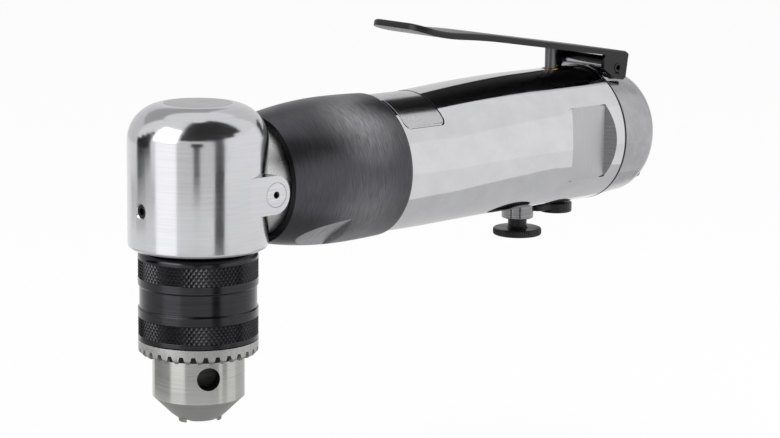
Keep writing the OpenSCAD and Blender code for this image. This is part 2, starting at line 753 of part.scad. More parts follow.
module ring_gear() {
    length = motor_x0 - neck_end;
    rim_r = neck_r - seat_gap;
    clear_r = planet_module * ring_n / 2 + 1.3 * planet_module;
    color("slategray") along_x(neck_end) difference() {
        cylinder(r = rim_r, h = length);
        translate([0, 0, -cut]) cylinder(r = clear_r, h = planet_x0 - neck_end + cut);
        translate([0, 0, planet_x1 - neck_end]) cylinder(r = clear_r, h = length);
        translate([0, 0, -cut]) linear_extrude(length + 2 * cut)
            polygon(gear_outline(ring_n, planet_module, 1.2, 0.85, 1 + backlash, 180 / ring_n));
    }
}

module sun_pinion() {
    color("darkgray") along_x(planet_x0) linear_extrude(planet_l)
        polygon(gear_outline(sun_n, planet_module, 0.9, 1.1, 1 - backlash, 0));
}

// Coupling sleeve

module coupling_sleeve() {
    belly = sleeve_belly_x - sleeve_x0;
    tail = sleeve_x1 - sleeve_round - sleeve_belly_x;
    outline = concat(
        [[neck_r + free_gap, sleeve_x0]],
        [for (i = [0:8]) let (t = i / 8)
            [sleeve_front_r + (sleeve_r - sleeve_front_r) * (1 - pow(1 - t, 2)), sleeve_x0 + belly * t]],
        [for (i = [1:3]) let (t = i / 3)
            [sleeve_r - (sleeve_r - sleeve_rear_r) * t * t, sleeve_belly_x + tail * t]],
        arc(sleeve_rear_r - sleeve_round, sleeve_x1 - sleeve_round, sleeve_round, 0, 90, 5),
        [[spigot_r + seat_gap, sleeve_x1], [spigot_r + seat_gap, motor_x0 - 0.4],
            [neck_r + free_gap, motor_x0 - 0.4]]);
    color("#2b2b2d") difference() {
        along_x(0) turned(outline);
        for (side = [0, 180])
            translate([0, 0, axis_h]) rotate([sleeve_flat_turn + side, 0, 0])
                translate([sleeve_x0 - cut, -sleeve_r - cut, -sleeve_r])
                    cube([sleeve_flat_end - sleeve_x0 + cut, sleeve_r + cut - sleeve_flat, 2 * sleeve_r]);
    }
}

// Motor

module front_end_plate() {
    color("gray") along_x(motor_x0) difference() {
        cylinder(r = motor_r, h = end_plate_t);
        translate([0, 0, -cut]) cylinder(r = rotor_bearing_r, h = rotor_bearing_w + cut);
        cylinder(r = rotor_shaft_r + free_gap, h = end_plate_t + cut);
    }
}

module rear_end_plate() {
    color("gray") along_x(cylinder_x1) difference() {
        cylinder(r = motor_r, h = end_plate_t);
        translate([0, 0, end_plate_t - rotor_bearing_w]) cylinder(r = rotor_bearing_r, h = rotor_bearing_w + cut);
        translate([0, 0, -cut]) cylinder(r = rotor_shaft_r + free_gap, h = end_plate_t);
    }
}

module front_rotor_bearing_ring() {
    color("silver") along_x(motor_x0) bearing_ring(rotor_bearing_r, rotor_shaft_r, rotor_bearing_w);
}

module front_rotor_bearing_race() {
    color("silver") along_x(motor_x0) bearing_race(rotor_bearing_r, rotor_shaft_r, rotor_bearing_w);
}

module rear_rotor_bearing_ring() {
    color("silver") along_x(motor_end - rotor_bearing_w)
        bearing_ring(rotor_bearing_r, rotor_shaft_r, rotor_bearing_w);
}

module rear_rotor_bearing_race() {
    color("silver") along_x(motor_end - rotor_bearing_w)
        bearing_race(rotor_bearing_r, rotor_shaft_r, rotor_bearing_w);
}

module motor_cylinder() {
    color("darkgray") along_x(cylinder_x0) difference() {
        cylinder(r = motor_r, h = cylinder_l);
        translate([-cylinder_offset, 0, -cut]) cylinder(r = cylinder_bore_r, h = cylinder_l + 2 * cut);
    }
}

// Vanes, or the rotor's slots for them, which end this far past the rotor's skin
module vane_blades(clear, past) {
    along_x(cylinder_x0 + rotor_end_gap) for (i = [0:vane_count - 1]) rotate([0, 0, 360 * i / vane_count])
        translate([rotor_r - vane_h - clear, -vane_t / 2 - clear, -clear])
            cube([vane_h + clear + past, vane_t + 2 * clear, cylinder_l - 2 * rotor_end_gap + 2 * clear]);
}

module rotor() {
    sun_root_r = planet_module * (sun_n / 2 - 1.1);
    sun_bore_r = sun_root_r - 0.3;
    color("gray") difference() {
        union() {
            along_x(cylinder_x0 + rotor_end_gap) cylinder(r = rotor_r, h = cylinder_l - 2 * rotor_end_gap);
            along_x(motor_x0) cylinder(r = rotor_shaft_r, h = motor_end - motor_x0);
            along_x(planet_x1) cylinder(r = sun_bore_r, h = motor_x0 - planet_x1);
        }
        vane_blades(run_gap, cut);
    }
}

module rotor_vanes() {
    color("saddlebrown") vane_blades(0, -0.1);
}

// Motor housing and rear cap

// Share of the housing's rise at x
function housing_ease(x) =
    let (t = min(1, max(0, (x - housing_rise_x0) / (housing_rise_x1 - housing_rise_x0)))) 1 - pow(1 - t, 1.7);

module motor_housing() {
    steps = 8;
    stations = concat(
        [sleeve_x1 + 0.1],
        [for (i = [0:steps]) housing_rise_x0 + (housing_rise_x1 - housing_rise_x0) * i / steps],
        [housing_end]);
    circles = [for (x = stations)
        [x, housing_rise * housing_ease(x),
            housing_front_r + (housing_rear_r - housing_front_r) * housing_ease(x)]];
    flat_run = (housing_rear_r + cut - flat_half) * flat_slope;
    color("gainsboro") difference() {
        union() {
            translate([0, 0, axis_h]) round_loft(circles, 72);
            along_x(motor_x0) cylinder(r = spigot_r, h = sleeve_x1 + 2 - motor_x0);
        }
        along_x(motor_x0 - cut) cylinder(r = motor_r + seat_gap, h = motor_end - motor_x0 + cut);
        plate_recess();
        for (side = [-1, 1])
            translate([0, 0, axis_h - housing_rear_r]) linear_extrude(2 * housing_rear_r + housing_rise) polygon([
                [flat_x0, side * flat_half],
                [flat_x1, side * flat_half],
                [flat_x1 + flat_run, side * (housing_rear_r + cut)],
                [flat_x0 - flat_run, side * (housing_rear_r + cut)]]);
        translate([stem_x, 0, axis_h + valve_bore_bottom]) cylinder(r = valve_bore_r, h = valve_bore_depth + cut);
        translate([stem_x, 0, axis_h + housing_top - stem_collar_h]) cylinder(r = stem_collar_r + seat_gap, h = 2 * cut);
        translate([regulator_x, 0, axis_h - housing_bottom - cut])
            cylinder(r = regulator_bushing_r + seat_gap, h = regulator_seat + cut);
        for (x = [regulator_x, reverse_x])
            translate([x, 0, axis_h - housing_bottom - cut])
                cylinder(r = regulator_stem_r + run_gap, h = housing_bottom - valve_stem_drop + 2 * cut);
        cap_screw_places() cylinder(r = cap_screw_r + seat_gap, h = cap_screw_l + cut);
    }
}

// Outline of the plate from above, with round corners
module plate_plan(x0, x1, half) {
    translate([x0 + plate_corner, -half]) square([x1 - x0 - 2 * plate_corner, 2 * half]);
    translate([x0, plate_corner - half]) square([x1 - x0, 2 * (half - plate_corner)]);
    for (x = [x0 + plate_corner, x1 - plate_corner], side = [-1, 1])
        translate([x, side * (half - plate_corner)]) circle(r = plate_corner);
}

// Curved sheet over the top of the handle, this much larger than the plate all round
module plate_sheet(r_in, r_out, grow) {
    start = sleeve_x1 + plate_gap - grow;
    intersection() {
        along_x(start - cut) ring(r_out, r_in, plate_end + grow + 2 * cut - start);
        translate([0, 0, axis_h]) linear_extrude(2 * r_out)
            plate_plan(start, plate_end + grow, housing_front_r * sin(plate_half_turn) + grow);
    }
}

module plate_recess() {
    plate_sheet(housing_front_r - plate_t, housing_front_r + 2 * cut, 0.1);
}

module name_plate() {
    color("silver") plate_sheet(housing_front_r - plate_t + seat_gap, housing_front_r - 0.05, 0);
}

module seam_gasket() {
    color("#1c1c1c") difference() {
        translate([housing_end, 0, axis_h + housing_rise]) rotate([0, 90, 0])
            cylinder(r = housing_rear_r - gasket_inset, h = gasket_t);
        cap_screw_places() cylinder(r = cap_screw_r + seat_gap, h = cap_screw_l + cut);
        along_x(housing_end - cut) cylinder(r = inlet_r, h = gasket_t + 2 * cut);
    }
}

// Cap screws, from the tips up to below their heads
module cap_screw_places() {
    for (a = [45:90:315])
        translate([cap_x0 + cap_l - cap_screw_sink - cap_screw_l, cap_screw_circle * cos(a),
                axis_h + cap_screw_circle * sin(a)])
            rotate([0, 90, 0]) children();
}

module rear_cap() {
    profile = concat(
        [[0, -cut * 2], [housing_rear_r + 0.2, -cut * 2]],
        arc(cap_rear_r - cap_round, cap_l - cap_round, cap_round, 0, 90, 9),
        [[0, cap_l]]);
    slot_w = lever_t + 2 * free_gap;
    color("gainsboro") difference() {
        union() {
            intersection() {
                translate([cap_x0, 0, axis_h + housing_rise]) rotate([0, 90 + cap_tilt, 0]) turned(profile);
                translate([cap_x0, -2 * housing_rear_r, axis_h - 2 * housing_rear_r])
                    cube([2 * cap_l, 4 * housing_rear_r, 4 * housing_rear_r]);
            }
            translate([pivot_x, 0, axis_h + pivot_h]) rotate([90, 0, 0])
                cylinder(r = boss_r, h = 2 * boss_half, center = true);
        }
        translate([pivot_x, 0, axis_h + pivot_h]) rotate([90, 0, 0])
            cylinder(r = pivot_pin_r + seat_gap, h = lever_w, center = true);
        for (side = [-1, 1])
            translate([pivot_x - ear_front - 1, side * (ear_gap + lever_t / 2) - slot_w / 2,
                    axis_h + pivot_h - ear_drop - 0.7])
                cube([ear_front + ear_rear + 2, slot_w, ear_drop + lever_h]);
        along_x(cap_x0 - cut) cylinder(r = inlet_r + seat_gap, h = cap_l + 3 * cut);
        along_x(inlet_seat_x) cylinder(r = inlet_flange_r + free_gap, h = cap_l);
        cap_screw_places() {
            cylinder(r = cap_screw_r + seat_gap, h = cap_screw_l + cut);
            translate([0, 0, cap_screw_l]) cylinder(r = cap_screw_head_r + 0.1, h = 2 * cap_screw_sink);
        }
        for (a = [0:90:270], b = [-18, 0, 18])
            translate([cap_x0 + cap_l - exhaust_depth, exhaust_circle * cos(a + b), axis_h + exhaust_circle * sin(a + b)])
                rotate([0, 90, 0]) cylinder(r = exhaust_r, h = exhaust_depth + 2 * cut);
    }
}

module cap_screws() {
    head_h = 2.2;
    color("dimgray") cap_screw_places() difference() {
        union() {
            cylinder(r = cap_screw_r, h = cap_screw_l);
            translate([0, 0, cap_screw_l]) cylinder(r = cap_screw_head_r, h = head_h);
        }
        translate([0, 0, cap_screw_l + head_h / 2]) cylinder(r = cap_screw_head_r / 2, h = head_h, $fn = 6);
    }
}

module inlet_bushing() {
    front = inlet_seat_x - inlet_thread_l;
    color("darkgray") along_x(0) difference() {
        union() {
            translate([0, 0, front]) cylinder(r = inlet_r, h = inlet_thread_l);
            translate([0, 0, inlet_seat_x]) cylinder(r = inlet_flange_r, h = inlet_flange_h);
        }
        translate([0, 0, front - cut]) cylinder(r = inlet_thread_r, h = inlet_thread_l + inlet_flange_h + 2 * cut);
    }
}

module inlet_screen() {
    screen_t = 0.8;
    pore_r = 0.9;
    color("peru") along_x(inlet_seat_x - inlet_thread_l - screen_t) difference() {
        cylinder(r = inlet_r - seat_gap, h = screen_t);
        for (orbit = [[0, 1], [2.4, 6], [4.8, 12]], i = [0:orbit[1] - 1])
            rotate([0, 0, 360 * i / orbit[1]]) translate([orbit[0], 0, -cut]) cylinder(r = pore_r, h = screen_t + 2 * cut);
    }
}

// Throttle

// Places lever shapes drawn with the pivot at the origin and the blade level
module lever_place() {
    translate([pivot_x, 0, axis_h + pivot_h]) rotate([0, lever_tilt, 0]) children();
}

module throttle_lever() {
    tip = -lever_l;
    bend = tip + lever_tip_l;
    under = lever_h - lever_t;
    edge = 0.9;
    half = lever_w / 2;
    upturn = [for (i = [0:8]) let (t = i / 8) [bend - lever_tip_l * t, lever_tip_rise * t * t]];
    color("#1e1e20") lever_place() difference() {
        union() {
            intersection() {
                rotate([90, 0, 0]) linear_extrude(lever_w, center = true) polygon(concat(
                    [[ear_rear, under], [ear_rear, lever_h - edge], [ear_rear - edge, lever_h]],
                    [for (p = upturn) [p[0], lever_h + p[1]]],
                    [for (i = [8:-1:0]) [upturn[i][0], under + upturn[i][1]]]));
                linear_extrude(2 * lever_h) lever_plan(half);
            }
            difference() {
                intersection() {
                    rotate([90, 0, 0]) linear_extrude(lever_w, center = true) polygon(concat(
                        [[ear_rear, lever_h - lever_flange], [ear_rear, under + lever_t / 4]],
                        [for (p = upturn) [p[0], under + lever_t / 2 + p[1]]],
                        [for (i = [8:-1:0]) [upturn[i][0], lever_h - lever_flange + upturn[i][1]]]));
                    linear_extrude(2 * lever_h) lever_plan(half);
                }
                translate([lever_t, 0, 0]) linear_extrude(2 * lever_h) lever_plan(half - lever_t);
            }
            for (side = [-1, 1])
                translate([0, side * (half - lever_t / 2), 0]) rotate([90, 0, 0])
                    linear_extrude(lever_t, center = true) polygon([
                        [ear_rear, under + lever_t / 4], [-ear_front, under + lever_t / 4], [-ear_front, -0.8],
                        [-0.5, -ear_drop], [ear_rear - edge, -ear_drop], [ear_rear, edge - ear_drop]]);
        }
        rotate([90, 0, 0]) cylinder(r = pivot_pin_r + run_gap, h = lever_w + 2 * cut, center = true);
    }
}

// Outline of the lever from above, with round corners at its tip
module lever_plan(half) {
    translate([-lever_l + lever_corner, -half]) square([lever_l - lever_corner + ear_rear, 2 * half]);
    translate([-lever_l, lever_corner - half]) square([2 * lever_corner, 2 * (half - lever_corner)]);
    for (side = [-1, 1])
        translate([lever_corner - lever_l, side * (half - lever_corner)]) circle(r = lever_corner);
}

module lever_pin() {
    length = lever_w + 0.4;
    color("gray") translate([pivot_x, 0, axis_h + pivot_h]) rotate([90, 0, 0]) difference() {
        cylinder(r = pivot_pin_r, h = length, center = true);
        translate([0, 0, length / 2 - 1.5]) cylinder(r = pivot_key / sqrt(3), h = 1.5 + cut, $fn = 6);
    }
}

module stem_bushing() {
    top = housing_top + stem_collar_h;
    color("goldenrod") translate([stem_x, 0, axis_h]) difference() {
        union() {
            translate([0, 0, stem_bushing_bottom])
                cylinder(r = valve_bore_r - seat_gap, h = housing_top - stem_collar_h - stem_bushing_bottom);
            translate([0, 0, housing_top - stem_collar_h]) cylinder(r = stem_collar_r, h = 2 * stem_collar_h);
        }
        translate([0, 0, stem_bushing_bottom - cut]) cylinder(r = stem_r + run_gap, h = top - stem_bushing_bottom + 2 * cut);
    }
}

module throttle_stem() {
    color("silver") translate([stem_x, 0, axis_h]) {
        translate([0, 0, valve_head_bottom]) cylinder(r = stem_r, h = stem_top - valve_head_bottom);
        translate([0, 0, valve_head_bottom]) cylinder(r = valve_head_r, h = valve_head_t);
    }
}

module throttle_spring() {
    seat = valve_bore_bottom + 0.05;
    color("silver") translate([stem_x, 0, axis_h + seat])
        coil(spring_wire, spring_r, valve_head_bottom - 0.05 - seat, spring_turns);
}

// Regulator and reverse lever

module regulator_bushing() {
    top = housing_bottom - regulator_seat;
    color("silver") translate([regulator_x, 0, axis_h - regulator_bushing_drop])
        ring(regulator_bushing_r, regulator_stem_r + run_gap, regulator_bushing_drop - top);
}

module regulator_knob() {
    color("#1b1b1c") translate([regulator_x, 0, axis_h]) {
        translate([0, 0, -knob_drop]) cylinder(r = regulator_stem_r, h = knob_drop - valve_stem_drop);
        translate([0, 0, -knob_drop - knob_t]) linear_extrude(knob_t) polygon(
            [for (i = [0:2 * knob_flutes - 1])
                let (r = knob_r - (i % 2) * knob_flute_depth, a = 180 * i / knob_flutes) [r * cos(a), r * sin(a)]]);
    }
}

module reverse_lever() {
    top = -housing_bottom - free_gap;
    color("#1b1b1c") translate([reverse_x, 0, axis_h]) {
        translate([0, 0, top]) cylinder(r = regulator_stem_r, h = -valve_stem_drop - top);
        translate([0, 0, top - reverse_hub_t]) cylinder(r = reverse_hub_r, h = reverse_hub_t);
        translate([0, 0, top - reverse_tab_t]) {
            translate([-reverse_reach + reverse_tab_w / 2, 0, 0]) cylinder(r = reverse_tab_w / 2, h = reverse_tab_t);
            translate([-reverse_reach + reverse_tab_w / 2, -reverse_tab_w / 2, 0])
                cube([reverse_reach - reverse_tab_w / 2, reverse_tab_w, reverse_tab_t]);
        }
    }
}

// Chuck

// Places jaw shapes drawn along +Z, for the jaw with this number
module jaw_place(i) {
    rotate([0, 0, key_hole_turn + 60 + 120 * i]) translate([jaw_nose_r, 0, 0]) rotate([0, jaw_slant, 0]) children();
}

module chuck_body() {
    groove_bottom = gear_ring_h - free_gap;
    groove_top = groove_bottom + nut_h + 2 * free_gap;
    color("lightgray") difference() {
        turned([
            [0, 0], [nose_r, 0], [nose_edge_r, nose_edge_h], [chuck_r, nose_cone_h], [chuck_r, groove_bottom],
            [nut_groove_r, groove_bottom], [nut_groove_r, groove_top],
            [chuck_upper_r, groove_top], [chuck_upper_r, thread_z], [0, thread_z]]);
        translate([0, 0, -cut]) cylinder(r = bit_bore_r, h = bit_bore_l + cut);
        translate([0, 0, bit_bore_l - cut])
            cylinder(r = chuck_screw_head_r + free_gap / 2, h = screw_seat - bit_bore_l + cut);
        translate([0, 0, bit_bore_l]) cylinder(r = chuck_screw_r + 0.1, h = thread_z);
        translate([0, 0, thread_z - spindle_thread_l - 0.4]) cylinder(r = spindle_thread_r + seat_gap, h = thread_z);
        for (i = [0:2]) {
            jaw_place(i) translate([0, 0, -jaw_overrun])
                cylinder(r = jaw_r + run_gap, h = jaw_top + 2 * jaw_overrun);
            rotate([0, 0, key_hole_turn + 120 * i]) translate([chuck_r - key_hole_depth, 0, key_hole_h])
                rotate([0, 90, 0]) cylinder(r = key_hole_r, h = key_hole_depth + cut);
        }
    }
}

module chuck_screw() {
    head = screw_seat - chuck_screw_head_h;
    shank = thread_z - 3 - screw_seat;
    color("dimgray") difference() {
        union() {
            translate([0, 0, head]) cylinder(r = chuck_screw_head_r, h = chuck_screw_head_h);
            translate([0, 0, screw_seat - cut]) cylinder(r = chuck_screw_r, h = shank + cut);
        }
        translate([0, 0, head - cut]) cylinder(r = chuck_screw_r, h = chuck_screw_head_h / 2 + cut, $fn = 6);
    }
}

module chuck_sleeve() {
    bottom = gear_ring_h + gear_ring_t;
    step = chuck_sleeve_r - chuck_waist_r;
    low = bottom + chuck_lower_band;
    high = chuck_sleeve_top - chuck_upper_band;
    shelf = jaw_top + 1.2;
    rim = 1;
    color("#222224") turned([
        [nut_r + seat_gap, bottom], [chuck_sleeve_r, bottom], [chuck_sleeve_r, low - step],
        [chuck_waist_r, low], [chuck_waist_r, high], [chuck_sleeve_r, high + step],
        [chuck_sleeve_r, chuck_sleeve_top - rim], [chuck_sleeve_r - rim, chuck_sleeve_top],
        [chuck_upper_r + run_gap, chuck_sleeve_top], [chuck_upper_r + run_gap, shelf],
        [chuck_cavity_r, shelf], [chuck_cavity_r, bottom + 4], [nut_r + seat_gap, bottom + 4]]);
}

module chuck_gear_ring() {
    bevel = 1;
    root = gear_tooth_gap / 2 - gear_tooth_flare;
    mouth = root + 2 * gear_tooth_flare * (gear_tooth_depth + cut) / gear_tooth_depth;
    color("silver") rotate([0, 0, key_hole_turn]) difference() {
        turned([
            [nut_r + seat_gap, gear_ring_h], [gear_ring_r - bevel, gear_ring_h], [gear_ring_r, gear_ring_h + bevel],
            [gear_ring_r, gear_ring_h + gear_ring_t], [nut_r + seat_gap, gear_ring_h + gear_ring_t]]);
        for (i = [0:gear_ring_teeth - 1])
            rotate([0, 0, 360 * (i + 0.5) / gear_ring_teeth])
                translate([nut_r - cut, 0, gear_ring_h]) rotate([90, 0, 90]) linear_extrude(gear_ring_r)
                    polygon([[-mouth, -cut], [mouth, -cut], [root, gear_tooth_depth], [-root, gear_tooth_depth]]);
    }
}

// The nut is split across so that it can be set into its groove
module chuck_nut() {
    bottom = gear_ring_h;
    jaw_back = jaw_nose_r + (jaw_r + free_gap) / cos(jaw_slant);
    split = 0.2;
    color("gray") difference() {
        translate([0, 0, bottom]) cylinder(r = nut_r, h = nut_h);
        turned([
            [0, bottom - cut], [jaw_back + (bottom - cut) * tan(jaw_slant), bottom - cut],
            [jaw_back + (bottom + nut_h + cut) * tan(jaw_slant), bottom + nut_h + cut], [0, bottom + nut_h + cut]]);
        translate([-nut_r - cut, -split / 2, bottom - cut]) cube([2 * (nut_r + cut), split, nut_h + 2 * cut]);
    }
}

// Jaw with a wedge-shaped grip edge that stands parallel to the spindle
module jaw(i) {
    length = jaw_top + jaw_tip_drop;
    reach = 2 * jaw_trim_r;
    color("darkgray") intersection() {
        jaw_place(i) translate([0, 0, -jaw_overrun]) cylinder(r = jaw_r, h = length + 2 * jaw_overrun);
        translate([0, 0, -jaw_tip_drop]) cylinder(r = jaw_trim_r, h = length);
        rotate([0, 0, key_hole_turn + 60 + 120 * i]) translate([jaw_open_r, 0, -jaw_tip_drop - cut])
            linear_extrude(length + 2 * cut)
                polygon([[0, 0], [reach / 2, -reach * sin(60)], [2 * reach, 0], [reach / 2, reach * sin(60)]]);
    }
}

module jaw_1() jaw(0);
module jaw_2() jaw(1);
module jaw_3() jaw(2);

angle_head();
grease_plug();
head_set_screw();
spindle_top_bearing();
spindle_bearing_ring();
spindle_bearing_race();
bearing_retainer();
spindle();
bevel_gear();
bevel_pinion();
carrier_bearing_ring();
carrier_bearing_race();
carrier_needle_bearing();
planet_carrier();
planet_pins();
planet_gear_1();
planet_gear_2();
planet_gear_3();
ring_gear();
sun_pinion();
coupling_sleeve();
motor_housing();
front_end_plate();
front_rotor_bearing_ring();
front_rotor_bearing_race();
motor_cylinder();
rotor();
rotor_vanes();
rear_end_plate();
rear_rotor_bearing_ring();
rear_rotor_bearing_race();
name_plate();
seam_gasket();
rear_cap();
cap_screws();
inlet_bushing();
inlet_screen();
throttle_lever();
lever_pin();
stem_bushing();
throttle_stem();
throttle_spring();
regulator_bushing();
regulator_knob();
reverse_lever();
chuck_body();
chuck_screw();
chuck_sleeve();
chuck_gear_ring();
chuck_nut();
jaw_1();
jaw_2();
jaw_3();
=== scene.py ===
"""Looks of a right angle air drill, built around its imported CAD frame.

Polished and turned pieces are remodelled as fine smooth meshes in the places that the frame gives.
"""

import logging
import math
from collections.abc import Sequence
from dataclasses import dataclass
from enum import Enum, IntEnum

import bmesh
import bpy
from mathutils import Matrix, Vector


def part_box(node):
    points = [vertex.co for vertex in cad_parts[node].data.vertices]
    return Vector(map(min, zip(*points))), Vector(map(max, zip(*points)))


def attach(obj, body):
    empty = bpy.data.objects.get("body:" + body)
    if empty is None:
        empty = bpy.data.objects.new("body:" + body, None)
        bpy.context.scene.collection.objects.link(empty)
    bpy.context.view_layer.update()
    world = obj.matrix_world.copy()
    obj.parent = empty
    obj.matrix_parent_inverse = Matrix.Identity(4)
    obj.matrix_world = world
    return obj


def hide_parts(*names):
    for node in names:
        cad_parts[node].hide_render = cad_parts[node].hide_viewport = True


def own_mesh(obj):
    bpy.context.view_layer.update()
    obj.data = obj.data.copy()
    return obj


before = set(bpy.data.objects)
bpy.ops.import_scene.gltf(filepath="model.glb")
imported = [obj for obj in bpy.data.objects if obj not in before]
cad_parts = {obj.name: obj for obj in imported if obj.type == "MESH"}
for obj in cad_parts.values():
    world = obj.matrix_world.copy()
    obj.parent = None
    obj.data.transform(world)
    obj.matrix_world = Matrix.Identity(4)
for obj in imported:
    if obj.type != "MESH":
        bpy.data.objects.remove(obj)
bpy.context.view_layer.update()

MM = 0.001
LOG = logging.getLogger("air_drill")

Point = tuple[float, float]
Socket = bpy.types.NodeSocket

# Points of a mesh nearer than this are one point, in metres.
MERGE = 1e-6
# Same for points that a spin or a cutting plane brings together.
WELD = 1e-7
# Faces of a copied mesh that bend less than this are made one.
FLAT_DEG = 0.4
# How far a cutter reaches past the skin that it cuts, in millimetres.
OVER = 1.0
# A face this near to a surface counts as lying on it, in millimetres.
HAIR = 0.02
# Cosine from which two directions count as the same.
SAME_WAY = 0.9999
# Widths of broken edges, in millimetres.
CRISP_EDGE = 0.1
FINE_EDGE = 0.15
SOFT_EDGE = 0.3

WHITE = (1.0, 1.0, 1.0, 1.0)
# Noise values over which the colour, a patch of painted light or shade, the gloss and the handled patches
# change.
TONE_STOPS = (0.32, 0.68)
PAINTED_PATCH_STOPS = (0.3, 0.7)
GLOSS_STOPS = (0.25, 0.75)
CLOUD_STOPS = (0.35, 0.7)
# Share of a patch of painted light or shade that still shows in the hollows of the marks.
PAINTED_PATCH_LEAST = 0.25
# Least roughness of any finish.
ROUGH_LEAST = 0.02


class Axis(Enum):
    """Row axis that a piece was turned about, or that its tool marks are stacked along."""

    X = 0
    Y = 1
    Z = 2

    @property
    def vector(self) -> Vector:
        """Unit vector along the axis."""
        return Vector([float(self.value == i) for i in range(3)])


class Cut(Enum):
    """How a tool shape changes the piece that it meets."""

    ADD = "UNION"
    REMOVE = "DIFFERENCE"


class Sides(IntEnum):
    """Sides of a round, by its size and by how much of it shows."""

    SKIN = 256
    BODY = 224
    NECK = 192
    SPIGOT = 160
    BORE = 128
    SMALL = 96
    PIN = 64


def linear(hex_colour: str) -> tuple[float, float, float, float]:
    """Turns an sRGB hex colour into linear light.

    Args:
        hex_colour: Colour such as "#c0c0c0".

    Returns:
        Linear red, green, blue and alpha.
    """
    digits = hex_colour.lstrip("#")
    srgb = [int(digits[i:i + 2], 16) / 255 for i in (0, 2, 4)]
    light = [c / 12.92 if c <= 0.04045 else ((c + 0.055) / 1.055) ** 2.4 for c in srgb]
    return (*light, 1.0)


def share(value: float, stretch: Point) -> float:
    """Gives how far a value has come along a stretch, from 0 before it to 1 after it."""
    return min(1.0, max(0.0, (value - stretch[0]) / (stretch[1] - stretch[0])))


def add_node(tree: bpy.types.NodeTree, kind: str, inputs: dict, **settings: object) -> bpy.types.Node:
    """Adds one shader node with its settings, values and links.

    Args:
        tree: Node tree that gets the node.
        kind: Blender's node type.
        inputs: Socket names or numbers, each with a value or the output socket to link.
        settings: Properties of the node itself.

    Returns:
        The new node.
    """
    node = tree.nodes.new(kind)
    for name, value in settings.items():
        setattr(node, name, value)
    for name, value in inputs.items():
        if isinstance(value, Socket):
            tree.links.new(value, node.inputs[name])
        else:
            node.inputs[name].default_value = value
    return node


def bare_tree(owner: bpy.types.Material | bpy.types.World) -> bpy.types.NodeTree:
    """Empties the node tree of a material or a world.

    Args:
        owner: What the nodes belong to.

    Returns:
        The tree without nodes.
    """
    owner.use_nodes = True
    owner.node_tree.nodes.clear()
    return owner.node_tree


@dataclass(frozen=True)
class PaintedPatch:
    """Patch of painted light or shade on a piece, laid over its colour.

    Attributes:
        colour: Colour at its middle.
        place_mm: Its middle, in the frame's millimetres.
        reach_mm: Distance over which it fades out.
    """

    colour: str
    place_mm: tuple[float, float, float]
    reach_mm: float

    def over(self, tree: bpy.types.NodeTree, place: Socket, marks: Socket, base: Socket) -> Socket:
        """Lays the painted light or shade over a finish.

        Args:
            tree: Nodes of the material.
            place: Place on the piece.
            marks: Pattern of the tool marks.
            base: Colour before the change.

        Returns:
            Colour with the change.
        """
        middle = [c * MM for c in self.place_mm]
        away = add_node(tree, "ShaderNodeVectorMath", {0: place, 1: middle}, operation="DISTANCE")
        near = add_node(tree, "ShaderNodeMapRange",
                        {"Value": away.outputs["Value"], "From Min": 0.0, "From Max": self.reach_mm * MM,
                         "To Min": 1.0, "To Max": 0.0}, interpolation_type="SMOOTHSTEP")
        grain = add_node(tree, "ShaderNodeMapRange",
                         {"Value": marks, "From Min": PAINTED_PATCH_STOPS[0], "From Max": PAINTED_PATCH_STOPS[1],
                          "To Min": PAINTED_PATCH_LEAST})
        part = add_node(tree, "ShaderNodeMath", {0: near.outputs["Result"], 1: grain.outputs["Result"]},
                        operation="MULTIPLY")
        # Sockets 0, 6 and 7 of this node are the factor and the two colours, and output 2 is their mix.
        mixed = add_node(tree, "ShaderNodeMix",
                         {0: part.outputs["Value"], 6: base, 7: linear(self.colour)}, data_type="RGBA")
        return mixed.outputs[2]


